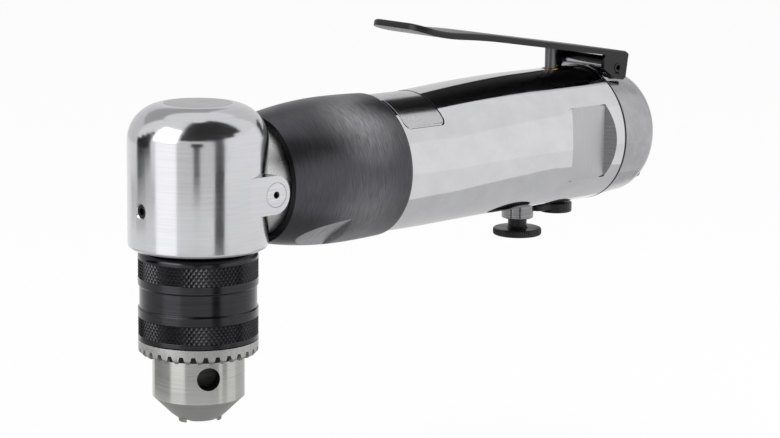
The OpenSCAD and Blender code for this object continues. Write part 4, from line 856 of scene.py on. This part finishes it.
@dataclass
class Handle:
    """Polished motor housing with its spanner flats, bare plate and rear cap. Sizes in millimetres."""

    front_radius: float = 20.5
    rear_radius: float = 21.3
    rise: float = 1.4
    rise_start: float = 78.0
    rise_stop: float = 122.0
    rise_power: float = 1.7
    front_gap: float = 0.1
    spigot_radius: float = 19.0
    spigot_lap: float = 2.0
    motor_bore: float = 17.32
    flat_half: float = 18.0
    flat_start: float = 129.7
    flat_stop: float = 144.4
    flat_slope: float = 0.7
    slope_cosine: float = 0.3
    level_slack: float = 0.001
    plate_thickness: float = 0.6
    plate_half_turn: float = 52.0
    plate_corner: float = 1.6
    plate_gap: float = 0.28
    seat_slack: float = 0.1
    seat_rise: float = 4.0
    core_over: float = 3.0
    stem_x: float = 138.0
    collar_radius: float = 2.75
    collar_depth: float = 0.3
    collar_reach: float = 3.0
    regulator_x: float = 125.0
    regulator_radius: float = 5.02
    regulator_depth: float = 4.0
    reverse_x: float = 141.7
    reverse_radius: float = 3.0
    reverse_depth: float = 10.0
    stations: int = 30
    tail_stations: int = 10
    gasket_proud: float = 0.02
    gasket_lap: float = 0.17
    gasket_depth: float = 3.0
    skin_edge: float = 0.25

    def build(self) -> None:
        """Makes the housing as one smooth skin, cuts its flats and seats, and dresses what sits in it."""
        low, high = span("motor_housing")
        start = span("coupling_sleeve")[1].x + self.front_gap
        axis_z = axis_height()
        shell = raw_object("chromed_housing", self._skin(start, high.x, axis_z))
        carve(shell, self._tools(low.x, axis_z))
        dress(shell, BUFFED_CHROME, "housing", ["motor_housing"],
              [MILLED_FLAT, MILLED_END_SHADE, DRILLED_STEEL_AND_SHADE])
        seat_stop = span("name_plate")[1].x + OVER
        middle = (self.flat_start + self.flat_stop) / 2
        for face in shell.data.polygons:
            centre = face.center / MM
            along, across, upright = (abs(part) for part in face.normal)
            depth = self.front_radius - math.hypot(centre.y, centre.z - axis_z)
            in_flat = abs(centre.x - middle) < self.flat_stop - self.flat_start
            sloped = min(along, across) > self.slope_cosine and upright < self.level_slack
            if in_flat and across > SAME_WAY and abs(abs(centre.y) - self.flat_half) < HAIR:
                face.material_index = 1
            # The sloped ends of the flats take the darker finish: painted shade in the recess.
            elif in_flat and sloped:
                face.material_index = 2
            # The seat round the plate takes the dark drilled finish: painted shade in the seam.
            elif start < centre.x < seat_stop and 0 < depth - self.seat_slack < self.plate_thickness:
                face.material_index = 3
        round_edges(shell, self.skin_edge)
        self._gasket(axis_z + self.rise)
        smooth_copy("name_plate", SATIN_PLATE, "housing", CRISP_EDGE)
        smooth_copy("rear_cap", SATIN_CHROME, "housing", SOFT_EDGE)
        smooth_copy("inlet_bushing", GROUND_STEEL, "housing", SOFT_EDGE)

    def _skin(self, start: float, stop: float, axis_z: float) -> bmesh.types.BMesh:
        """Bridges round rings into the housing's outer skin, which rises and widens to the rear.

        Args:
            start: Place of its front end.
            stop: Place of its rear end.
            axis_z: Height of the handle axis.

        Returns:
            A closed mesh in metres.
        """
        run = self.rise_stop - self.rise_start
        tail = stop - self.rise_stop
        places = [start, (start + self.rise_start) / 2]
        places += [self.rise_start + run * i / self.stations for i in range(self.stations + 1)]
        places += [self.rise_stop + tail * i / self.tail_stations for i in range(1, self.tail_stations + 1)]
        bm = bmesh.new()
        rings = []
        for x in places:
            ease = 1 - (1 - share(x, (self.rise_start, self.rise_stop))) ** self.rise_power
            radius = self.front_radius + (self.rear_radius - self.front_radius) * ease
            centre = Vector((x, 0, axis_z + self.rise * ease)) * MM
            place = Matrix.Translation(centre) @ Matrix.Rotation(math.pi / 2, 4, "Y")
            ring = bmesh.ops.create_circle(bm, cap_ends=False, segments=Sides.SKIN, radius=radius * MM,
                                           matrix=place)
            rings.append(ring["verts"])
        loops = [list({e for v in ring for e in v.link_edges}) for ring in rings]
        for front, back in zip(loops, loops[1:]):
            bmesh.ops.bridge_loops(bm, edges=front + back)
        for loop in (loops[0], loops[-1]):
            bmesh.ops.edgeloop_fill(bm, edges=loop)
        bmesh.ops.recalc_face_normals(bm, faces=bm.faces)
        return bm

    def _gasket(self, height: float) -> None:
        """Lays the gasket's dark edge into the seam before the cap.

        Args:
            height: Height of its middle.
        """
        low, high = span("seam_gasket")
        outer = self.rear_radius + self.gasket_proud
        inner = outer - self.gasket_depth
        start, stop = low.x - self.gasket_lap, high.x + self.gasket_lap
        section = [(inner, start), (outer, start), (outer, stop), (inner, stop)]
        edge = raw_object("gasket_edge", turned(section, Axis.X, Sides.SKIN, height))
        dress(edge, RUBBER, "housing", ["seam_gasket"])

    def _tools(self, front: float, axis_z: float) -> list[tuple[Cut, bmesh.types.BMesh]]:
        """Gives the shapes that are added to the skin and cut out of it.

        Args:
            front: Place of the housing's front end.
            axis_z: Height of the handle axis.

        Returns:
            Each shape with what it does.
        """
        top = axis_z + self.rise + self.rear_radius
        below = axis_z + self.rise - self.rear_radius - OVER
        spigot_run = span("coupling_sleeve")[1].x + self.spigot_lap - front
        bore_run = span("rear_end_plate")[1].x - front + OVER
        x_way, z_way = Axis.X.vector, Axis.Z.vector
        along = Vector((front, 0, axis_z))
        tools = [
            (Cut.ADD, rod(along, x_way, self.spigot_radius, spigot_run, Sides.SPIGOT)),
            (Cut.REMOVE, rod(along - x_way * OVER, x_way, self.motor_bore, bore_run, Sides.SPIGOT)),
            (Cut.REMOVE, self._plate_seat(axis_z)),
        ]
        for x, foot, radius, depth in (
                (self.stem_x, top - self.collar_depth, self.collar_radius, self.collar_reach),
                (self.regulator_x, below, self.regulator_radius, self.regulator_depth + OVER),
                (self.reverse_x, below, self.reverse_radius, self.reverse_depth + OVER)):
            tools.append((Cut.REMOVE, rod(Vector((x, 0, foot)), z_way, radius, depth)))
        tools += [(Cut.REMOVE, self._flat_tool(side, axis_z)) for side in (-1, 1)]
        return tools

    def _flat_tool(self, side: int, axis_z: float) -> bmesh.types.BMesh:
        """Makes the cutter of one spanner flat, with its sloped ends.

        Args:
            side: -1 for the near flat, 1 for the far one.
            axis_z: Height of the handle axis.

        Returns:
            A closed mesh in metres.
        """
        outer = self.rear_radius + OVER
        run = (outer - self.flat_half) * self.flat_slope
        foot = axis_z - self.rear_radius
        corners = [(self.flat_start, self.flat_half), (self.flat_stop, self.flat_half),
                   (self.flat_stop + run, outer), (self.flat_start - run, outer)]
        bm = bmesh.new()
        face = bm.faces.new([bm.verts.new(Vector((x, side * y, foot)) * MM) for x, y in corners])
        raised = bmesh.ops.extrude_face_region(bm, geom=[face])
        top = [g for g in raised["geom"] if isinstance(g, bmesh.types.BMVert)]
        bmesh.ops.translate(bm, verts=top, vec=Vector((0, 0, 2 * self.rear_radius + self.rise)) * MM)
        return bm

    def _plate_seat(self, axis_z: float) -> bmesh.types.BMesh:
        """Makes the cutter of the shallow seat under the bare plate.

        Args:
            axis_z: Height of the handle axis.

        Returns:
            A closed mesh in metres.
        """
        low, high = span("name_plate")
        start, stop = low.x - self.plate_gap, high.x + self.plate_gap
        half = self.front_radius * math.sin(math.radians(self.plate_half_turn)) + self.plate_gap
        inner = self.front_radius - self.plate_thickness
        bm = block((start, -half, axis_z), (stop, half, axis_z + self.front_radius + self.seat_rise))
        corners = [e for e in bm.edges if abs(e.verts[0].co.z - e.verts[1].co.z) > MERGE]
        bevel(bm, corners, self.plate_corner, 8)
        seat = raw_object("plate_seat", bm)
        foot = Vector((start - self.core_over, 0, axis_z))
        core_run = stop + 2 * self.core_over - start
        carve(seat, [(Cut.REMOVE, rod(foot, Axis.X.vector, inner, core_run, Sides.NECK))])
        cutter = bmesh.new()
        cutter.from_mesh(seat.data)
        discard(seat)
        return cutter


@dataclass
class Chuck:
    """Keyed chuck: bored body, knurled sleeve, toothed ring and jaws. Sizes in millimetres."""

    nose_radius: float = 5.9
    nose_edge: Point = (8.0, 1.6)
    cone_height: float = 6.6
    body_radius: float = 13.1
    body_edge: float = 0.2
    groove: Point = (18.6, 25.2)
    groove_radius: float = 10.6
    upper_radius: float = 12.9
    upper_gap: float = 0.05
    bit_radius: float = 5.1
    bit_depth: float = 27.0
    key_radius: float = 3.3
    key_height: float = 13.9
    key_depth: float = 5.4
    key_turn: float = 245.5
    jaws: int = 3
    jaw_radius: float = 3.15
    jaw_nose: float = 3.6
    jaw_slant: float = 12.5
    jaw_lead: float = 10.0
    jaw_reach: float = 4.0
    sleeve_radius: float = 17.0
    sleeve_edge: float = 0.12
    sleeve_foot: float = 0.3
    waist_radius: float = 16.6
    waist: Point = (32.6, 38.5)
    shoulder: float = 1.8
    nut_seat: float = 14.62
    cavity_radius: float = 15.5
    cavity: Point = (27.1, 43.7)
    knurl_count: int = 80
    knurl_row: float = 0.95
    knurl_depth: float = 0.32
    knurl_floor: float = 0.15
    knurl_wall: float = 0.1
    knurl_bands: tuple[Point, Point] = ((24.7, 29.8), (41.1, 46.4))

    def build(self) -> None:
        """Makes and dresses all pieces of the chuck."""
        self._body()
        self._sleeve()
        smooth_copy("chuck_gear_ring", BEAD_BLAST, "chuck_sleeve", FINE_EDGE)
        for number in range(1, self.jaws + 1):
            smooth_copy(f"jaw_{number}", BEAD_BLAST, f"jaw_{number}", FINE_EDGE)

    def _body(self) -> None:
        """Turns the body and bores it for the bit, the jaws and the key."""
        top = span("chuck_body")[1].z
        profile = [(0.0, 0.0), (self.nose_radius, 0.0), self.nose_edge, (self.body_radius, self.cone_height),
                   (self.body_radius, self.groove[0]), (self.groove_radius, self.groove[0]),
                   (self.groove_radius, self.groove[1]), (self.upper_radius, self.groove[1]),
                   (self.upper_radius, top), (0.0, top)]
        body = raw_object("turned_chuck_body", turned(profile, Axis.Z, Sides.BODY))
        up = Axis.Z.vector
        tools = [(Cut.REMOVE, rod(-up * OVER, up, self.bit_radius, self.bit_depth + OVER, Sides.SMALL))]
        slant = math.radians(self.jaw_slant)
        jaw_run = self.jaw_lead + top + self.jaw_reach
        for number in range(self.jaws):
            key = math.radians(self.key_turn + 360 / self.jaws * number)
            out = Vector((math.cos(key), math.sin(key), 0))
            seat = out * (self.body_radius - self.key_depth) + up * self.key_height
            tools.append((Cut.REMOVE, rod(seat, out, self.key_radius, self.key_depth + OVER, Sides.SMALL)))
            jaw = key + math.pi / self.jaws
            side = Vector((math.cos(jaw), math.sin(jaw), 0))
            way = side * math.sin(slant) + up * math.cos(slant)
            foot = side * self.jaw_nose - way * self.jaw_lead
            tools.append((Cut.REMOVE, rod(foot, way, self.jaw_radius, jaw_run, Sides.SMALL)))
        carve(body, tools)
        dress(body, TURNED_STEEL, "spindle", ["chuck_body"], [DRILLED_STEEL_AND_SHADE])
        # Faces inside the key holes take the dark drilled finish: painted shade.
        for face in body.data.polygons:
            centre = face.center / MM
            deep = math.hypot(centre.x, centre.y) < self.body_radius - HAIR
            if deep and abs(centre.z - self.key_height) < self.key_radius:
                face.material_index = 1
        round_edges(body, self.body_edge)

    def _sleeve(self) -> None:
        """Turns the sleeve with sunk bands and lays diamond knurling into them."""
        low, high = span("chuck_sleeve")
        radius = self.sleeve_radius
        bore = self.upper_radius + self.upper_gap
        step = radius - self.waist_radius
        profile = [(self.nut_seat, low.z), (radius - self.sleeve_foot, low.z),
                   (radius, low.z + self.sleeve_foot)]
        profile += self._band(self.knurl_bands[0])
        profile += [(radius, self.waist[0] - step), (self.waist_radius, self.waist[0]),
                    (self.waist_radius, self.waist[1]), (radius, self.waist[1] + step)]
        profile += self._band(self.knurl_bands[1])
        profile += arc((radius - self.shoulder, high.z - self.shoulder), self.shoulder, 0, 90, 8)
        profile += [(bore, high.z), (bore, self.cavity[1]), (self.cavity_radius, self.cavity[1]),
                    (self.cavity_radius, self.cavity[0]), (self.nut_seat, self.cavity[0])]
        sleeve = raw_object("black_chuck_sleeve", turned(profile, Axis.Z, Sides.BODY))
        dress(sleeve, GLOSS_BLACK, "chuck_sleeve", ["chuck_sleeve"])
        round_edges(sleeve, self.sleeve_edge)
        for number, band in enumerate(self.knurl_bands):
            knurl = raw_object(f"chuck_knurl_{number + 1}", self._knurl(*band))
            dress(knurl, GLOSS_BLACK, "chuck_sleeve", crease_deg=4.0)

    def _band(self, band: Point) -> list[Point]:
        """Gives the corners of one sunk band in the sleeve's section.

        Args:
            band: Bottom and top of the band.

        Returns:
            Radius and height of each corner.
        """
        low, high = band
        sunk = self.sleeve_radius - self.knurl_depth - self.knurl_floor
        return [(self.sleeve_radius, low), (sunk, low + self.knurl_wall), (sunk, high - self.knurl_wall),
                (self.sleeve_radius, high)]

    def _knurl(self, low: float, high: float) -> bmesh.types.BMesh:
        """Makes one band of diamond points, flush with the sleeve.

        Args:
            low: Bottom of the band.
            high: Top of the band.

        Returns:
            The open band.
        """
        rows = 2 * round((high - low) / self.knurl_row / 2)
        columns = 2 * self.knurl_count
        radius = self.sleeve_radius * MM
        place = Matrix.Translation((0, 0, (low + high) / 2 * MM))
        bm = bmesh.new()
        bmesh.ops.create_cone(bm, cap_ends=False, segments=columns, radius1=radius, radius2=radius,
                              depth=(high - low) * MM, matrix=place)
        upright = [e for e in bm.edges if abs(e.verts[0].co.z - e.verts[1].co.z) > MERGE]
        bmesh.ops.subdivide_edges(bm, edges=upright, cuts=rows - 1, use_grid_fill=True)
        sunk = []
        for vert in bm.verts:
            column = round(math.atan2(vert.co.y, vert.co.x) / math.tau * columns)
            row = round((vert.co.z / MM - low) / (high - low) * rows)
            if (row + column) % 2:
                sunk.append(vert)
        bmesh.ops.connect_verts(bm, verts=sunk)
        shrink = 1 - self.knurl_depth / self.sleeve_radius
        bmesh.ops.scale(bm, verts=sunk, vec=(shrink, shrink, 1))
        bmesh.ops.recalc_face_normals(bm, faces=bm.faces)
        return bm


@dataclass
class Controls:
    """Lever, stem and the two controls under the handle. Sizes in millimetres.

    The stretches bow, tip and plain are reaches from the lever's pin: where its blade is bowed down, where the
    CAD turns it up, and where its underside becomes plain.
    """

    lever_tilt: float = 8.95
    lever_edge: float = 0.2
    lever_weld: float = 0.02
    rim_round: float = 0.9
    rim_upper: float = 0.9
    rim_lower: float = 0.35
    bow: Point = (48.0, 81.0)
    bow_drop: float = 1.15
    tip: Point = (68.0, 86.0)
    tip_lift: float = 0.05
    tip_rise: float = 1.7
    plain: Point = (60.0, 70.0)
    sheet_under: float = 4.15
    sheet_slack: float = 0.1
    edge_depth: float = 0.7
    stations: int = 20
    bushing_radius: float = 2.7
    bushing_sink: float = 0.2
    bushing_bore: float = 1.8
    bushing_height: float = 4.0
    knob_thickness: float = 2.2
    knob_round: float = 0.6
    knob_stem: float = 2.95
    knob_dish: float = 0.5
    knob_columns: int = 144
    knob_groove: float = 0.12
    knob_rim: float = 0.2
    tab_edge: float = 0.4
    stem_travel: float = 2.9

    def build(self) -> None:
        """Makes the lever, the bushing, the spring and the knob, and dresses the other controls."""
        self._lever()
        self._bushing()
        self._spring()
        self._knob()
        smooth_copy("lever_pin", OILED_BLACK_AND_GAP_SHADE, "housing", FINE_EDGE)
        smooth_copy("throttle_stem", GEAR_STEEL, "throttle_stem", SOFT_EDGE)
        smooth_copy("regulator_bushing", GROUND_STEEL, "housing", SOFT_EDGE)
        smooth_copy("reverse_lever", OILED_BLACK_AND_GAP_SHADE, "reverse_lever", self.tab_edge)

    def _drop(self, reach: float) -> float:
        """Gives how far the blade is bowed down.

        Args:
            reach: Distance from the pin along the blade.

        Returns:
            The way down.
        """
        bow = share(reach, self.bow)
        tip = share(reach, self.tip)
        return self.bow_drop * bow ** 3 * (4 - 3 * bow) - self.tip_lift * tip * tip

    def _fill(self, reach: float, height: float) -> float:
        """Gives how far the sheet's underside is brought down to its turned-down edge towards the tip.

        Args:
            reach: Distance from the pin along the blade.
            height: Height over the pin. Points off the underside stay.

        Returns:
            The way down.
        """
        tip = max(0.0, (reach - self.tip[0]) / (self.tip[1] - self.tip[0]))
        plain = share(reach, self.plain)
        inside = abs(height - self.sheet_under - self.tip_rise * tip * tip) < self.sheet_slack
        return self.edge_depth * plain * plain * (3 - 2 * plain) if inside else 0.0

    def _lever(self) -> None:
        """Copies the lever, bows its blade down a little and rounds the blade's upper rim."""
        low, high = span("lever_pin")
        pin = (low + high) / 2 * MM
        tilt = math.radians(self.lever_tilt)
        ahead = Vector((-math.cos(tilt), 0, math.sin(tilt)))
        up = Vector((math.sin(tilt), 0, math.cos(tilt)))
        bm = flatten(node_mesh("throttle_lever"))
        for number in range(self.stations):
            reach = self.bow[0] + (self.tip[0] - self.bow[0]) * number / self.stations
            everything = [*bm.verts, *bm.edges, *bm.faces]
            bmesh.ops.bisect_plane(bm, geom=everything, dist=WELD, plane_co=pin + ahead * reach * MM,
                                   plane_no=ahead)
        for vert in bm.verts:
            reach = (vert.co - pin).dot(ahead) / MM
            height = (vert.co - pin).dot(up) / MM
            down = self._fill(reach, height) + self._drop(reach)
            bmesh.ops.translate(bm, verts=[vert], vec=-up * down * MM)
        bmesh.ops.remove_doubles(bm, verts=bm.verts, dist=self.lever_weld * MM)
        bm.normal_update()
        rim = []
        for edge in bm.edges:
            if len(edge.link_faces) != 2 or not edge.is_convex:
                continue
            lower, upper = sorted(face.normal.dot(up) for face in edge.link_faces)
            if upper > self.rim_upper and abs(lower) < self.rim_lower:
                rim.append(edge)
        bevel(bm, rim, self.rim_round, 4)
        lever = raw_object("stamped_lever", bm)
        dress(lever, SATIN_BLACK, "throttle_lever", ["throttle_lever"])
        round_edges(lever, self.lever_edge)

    def _bushing(self) -> None:
        """Turns the brass bushing that guides the stem."""
        low, high = span("stem_bushing")
        top = high.z - self.bushing_sink
        foot = top - self.bushing_height
        section = [(self.bushing_bore, foot), (self.bushing_radius, foot), (self.bushing_radius, top),
                   (self.bushing_bore, top)]
        bm = turned(section, Axis.Z, Sides.SMALL)
        shift_x(bm, (low.x + high.x) / 2)
        bushing = raw_object("brass_bushing", bm)
        dress(bushing, TURNED_BRASS, "housing", ["stem_bushing"])
        round_edges(bushing, CRISP_EDGE)

    def _spring(self) -> None:
        """Copies the coil spring, dresses it and gives it a mesh of its own."""
        spring = raw_object("coil_spring", node_mesh("throttle_spring"))
        dress(spring, GROUND_STEEL, "housing", ["throttle_spring"])
        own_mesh(spring)

    def _knob(self) -> None:
        """Turns the regulator knob with a round, finely grooved rim and a dished top."""
        low, high = span("regulator_knob")
        radius = (high.x - low.x) / 2
        top = low.z + self.knob_thickness
        section = [(0.0, low.z)]
        section += arc((radius - self.knob_round, low.z + self.knob_round), self.knob_round, -90, 0, 6)
        section += arc((radius - self.knob_round, top - self.knob_round), self.knob_round, 0, 90, 6)
        section += [(self.knob_stem + self.knob_dish, top), (self.knob_stem, top + self.knob_dish),
                    (self.knob_stem, high.z), (0.0, high.z)]
        bm = turned(section, Axis.Z, self.knob_columns)
        shrink = 1 - self.knob_groove / radius
        sunk = []
        for vert in bm.verts:
            column = round(math.atan2(vert.co.y, vert.co.x) / math.tau * self.knob_columns)
            if column % 2 and math.hypot(vert.co.x, vert.co.y) > (radius - self.knob_rim) * MM:
                sunk.append(vert)
        bmesh.ops.scale(bm, verts=sunk, vec=(shrink, shrink, 1))
        shift_x(bm, (low.x + high.x) / 2)
        knob = raw_object("round_knob", bm)
        dress(knob, OILED_BLACK_AND_GAP_SHADE, "regulator_knob", ["regulator_knob"])


@dataclass(frozen=True)
class Card:
    """Studio card round the drill that polished metal reflects.

    Attributes:
        name: What it is.
        start_deg: Bearing of its first side from +X.
        stop_deg: Bearing of its last side.
        foot: Distance from the chuck's axis and height of its lower edge, in metres.
        head: Distance from the chuck's axis and height of its upper edge, in metres.
        glow: Brightness, 0 for black.
    """

    name: str
    start_deg: float
    stop_deg: float
    foot: Point
    head: Point
    glow: float

    def build(self) -> None:
        """Sets the card up, seen only in reflections."""
        bm = bmesh.new()
        start = math.radians(self.start_deg)
        corners = [(math.cos(start) * r, math.sin(start) * r, z) for r, z in (self.foot, self.head)]
        ends = [bm.verts.new(corner) for corner in corners]
        edge = bm.edges.new(ends)
        bmesh.ops.spin(bm, geom=[edge, *ends], axis=(0, 0, 1), cent=(0, 0, 0),
                       angle=math.radians(self.stop_deg - self.start_deg), steps=16)
        card = raw_object(self.name, bm)
        paper = bpy.data.materials.new(self.name)
        tree = bare_tree(paper)
        light = add_node(tree, "ShaderNodeEmission", {"Color": WHITE, "Strength": self.glow})
        add_node(tree, "ShaderNodeOutputMaterial", {"Surface": light.outputs["Emission"]})
        card.data.materials.append(paper)
        card.visible_camera = False
        card.visible_diffuse = False
        card.visible_shadow = False
        card.visible_transmission = False


@dataclass(frozen=True)
class Lamp:
    """Soft lamp over the drill, which metal doesn't mirror.

    Attributes:
        name: What it is.
        place: Where it hangs, in metres.
        size: Its width and height, in metres.
        power: Its strength in watts.
    """

    name: str
    place: tuple[float, float, float]
    size: Point
    power: float

    def build(self, aim: tuple[float, float, float]) -> None:
        """Hangs the lamp so that it faces a point of the drill.

        Args:
            aim: That point, in metres.
        """
        lamp = bpy.data.lights.new(self.name, "AREA")
        lamp.shape = "RECTANGLE"
        lamp.size, lamp.size_y = self.size
        lamp.energy = self.power
        holder = bpy.data.objects.new(self.name, lamp)
        turn = (Vector(aim) - Vector(self.place)).to_track_quat("-Z", "Y").to_matrix().to_4x4()
        holder.matrix_world = Matrix.Translation(self.place) @ turn
        holder.visible_glossy = False
        bpy.context.scene.collection.objects.link(holder)


@dataclass
class Studio:
    """Camera, floor, cards and light. Lengths in metres."""

    camera_place: tuple[float, float, float] = (-0.4236, -0.5609, 0.1928)
    yaw_deg: float = 41.45
    pitch_deg: float = 10.91
    roll_deg: float = 0.67
    focal_px: float = 2545.6
    image_px: int = 780
    sensor_mm: float = 36.0
    nearest: float = 0.01
    floor_z: float = -0.045
    floor_half: float = 6.0
    floor_colour: str = "#f2f2f2"
    floor_glow: float = 0.88
    world_light: float = 0.8
    aim: tuple[float, float, float] = (0.07, 0.0, 0.05)
    lamps: tuple[Lamp, ...] = (
        Lamp("soft top", (-0.15, -0.2, 0.9), (0.8, 0.6), 3.0),
        Lamp("soft right", (0.5, -0.9, 0.45), (0.5, 0.5), 2.0),
    )
    cards: tuple[Card, ...] = (
        Card("bright card left", 163, 199, (0.24, -0.044), (0.24, 0.115), 1.5),
        Card("window left", 156, 197, (0.50, 0.19), (0.50, 0.67), 4.0),
        Card("dark card far left", 119, 128, (0.45, -0.010), (0.45, 0.14), 0.03),
        Card("dark card left", 128, 136, (0.45, -0.006), (0.45, 0.20), 0.03),
        Card("dark card mid left", 136, 144, (0.45, -0.003), (0.45, 0.27), 0.03),
        Card("dark card near left", 144, 152, (0.45, 0.000), (0.45, 0.34), 0.03),
        Card("grey card far left", 96, 162, (0.45, -0.044), (0.45, -0.011), 0.7),
        Card("grey wall behind", 0, 115, (1.30, -0.044), (1.30, 1.60), 0.78),
        Card("grey card over the wall", 44, 115, (1.00, 0.62), (0.75, 1.15), 0.48),
        Card("dark ceiling", 202, 300, (0.07, 0.45), (1.00, 0.45), 0.04),
        Card("dark ceiling end", 300, 318, (0.07, 0.45), (0.62, 0.45), 0.04),
        Card("grey card front", 200, 258, (0.45, -0.044), (0.45, 0.22), 0.8),
        Card("camera", 222, 241, (0.44, 0.105), (0.44, 0.19), 0.05),
        Card("camera stand", 226, 236, (0.44, -0.028), (0.44, 0.105), 0.11),
        Card("dark card right", 259, 275, (0.28, -0.044), (0.28, 0.18), 0.1),
        Card("white card right", 279, 352, (0.60, -0.044), (0.60, 0.35), 1.08),
        Card("low grey left", 95, 161, (0.20, -0.044), (0.20, -0.019), 0.35),
        Card("low grey front", 200, 284, (0.20, -0.044), (0.20, -0.019), 0.5),
        Card("low grey right", 292, 306, (0.20, -0.044), (0.20, -0.019), 0.5),
        Card("floor shade right", 335, 395, (0.13, -0.0435), (0.29, -0.0435), 0.7),
        # A darker disc on the floor round the chuck: painted shadow under the drill, seen only in reflections.
        Card("painted floor shadow", 0, 360, (0.001, -0.0435), (0.12, -0.0435), 0.4),
    )

    def build(self) -> None:
        """Sets up the whole studio."""
        bpy.context.scene.view_settings.view_transform = "Standard"
        self._camera()
        self._floor()
        self._world()
        for card in self.cards:
            card.build()
        for lamp in self.lamps:
            lamp.build(self.aim)

    def _camera(self) -> None:
        """Places the camera at the photograph's view."""
        yaw, pitch, roll = (math.radians(a) for a in (self.yaw_deg, self.pitch_deg, self.roll_deg))
        ahead = Vector((math.sin(yaw) * math.cos(pitch), math.cos(yaw) * math.cos(pitch), -math.sin(pitch)))
        side = Vector((math.cos(yaw), -math.sin(yaw), 0))
        up = side.cross(ahead)
        right = side * math.cos(roll) + up * math.sin(roll)
        high = up * math.cos(roll) - side * math.sin(roll)
        lens = bpy.data.cameras.new("camera")
        lens.sensor_width = self.sensor_mm
        lens.lens = self.focal_px * self.sensor_mm / self.image_px
        lens.clip_start = self.nearest
        camera = bpy.data.objects.new("camera", lens)
        turn = Matrix((right, high, -ahead)).transposed().to_4x4()
        camera.matrix_world = Matrix.Translation(self.camera_place) @ turn
        bpy.context.scene.collection.objects.link(camera)
        bpy.context.scene.camera = camera

    def _seen(self, tree: bpy.types.NodeTree) -> Socket:
        """Tells the rays that show the backdrop: straight, mirrored or through glass.

        Args:
            tree: Nodes of the backdrop.

        Returns:
            1 for such a ray, 0 for any other.
        """
        ray = add_node(tree, "ShaderNodeLightPath", {}).outputs
        mirrored = add_node(tree, "ShaderNodeMath", {0: ray["Is Camera Ray"], 1: ray["Is Glossy Ray"]},
                            operation="MAXIMUM")
        either = add_node(tree, "ShaderNodeMath", {0: mirrored.outputs[0], 1: ray["Is Transmission Ray"]},
                          operation="MAXIMUM")
        return either.outputs[0]

    def _floor(self) -> None:
        """Lays a wide white floor below the drill, which keeps a faint shadow."""
        bm = bmesh.new()
        bmesh.ops.create_grid(bm, x_segments=1, y_segments=1, size=self.floor_half,
                              matrix=Matrix.Translation((0, 0, self.floor_z)))
        floor = raw_object("floor", bm)
        paper = bpy.data.materials.new("white paper")
        tree = bare_tree(paper)
        matt = add_node(tree, "ShaderNodeBsdfDiffuse", {"Color": linear(self.floor_colour)})
        glow = add_node(tree, "ShaderNodeEmission", {"Color": WHITE, "Strength": 1.0})
        part = add_node(tree, "ShaderNodeMath", {0: self._seen(tree), 1: self.floor_glow},
                        operation="MULTIPLY")
        both = add_node(tree, "ShaderNodeMixShader",
                        {"Fac": part.outputs[0], 1: matt.outputs["BSDF"], 2: glow.outputs["Emission"]})
        add_node(tree, "ShaderNodeOutputMaterial", {"Surface": both.outputs["Shader"]})
        floor.data.materials.append(paper)

    def _world(self) -> None:
        """Lights the room evenly from all round and shows it plain white."""
        world = bpy.data.worlds.new("studio")
        tree = bare_tree(world)
        room = add_node(tree, "ShaderNodeBackground", {"Color": WHITE, "Strength": self.world_light})
        white = add_node(tree, "ShaderNodeBackground", {"Color": WHITE, "Strength": 1.0})
        pick = add_node(tree, "ShaderNodeMixShader",
                        {"Fac": self._seen(tree), 1: room.outputs[0], 2: white.outputs[0]})
        add_node(tree, "ShaderNodeOutputWorld", {"Surface": pick.outputs[0]})
        bpy.context.scene.world = world


def dress_frame() -> None:
    """Gives every CAD node a finish, for those that stay in view."""
    for name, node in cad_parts.items():
        node.data.materials.clear()
        node.data.materials.append(NODE_FINISH.get(name, GEAR_STEEL).material())


def main() -> None:
    """Builds the drill's pieces and the studio in order."""
    logging.basicConfig(level=logging.INFO, format="%(message)s")
    dress_frame()
    AngleHead().build()
    CouplingSleeve().build()
    Handle().build()
    Chuck().build()
    Controls().build()
    Studio().build()


if __name__ == "__main__":
    main()
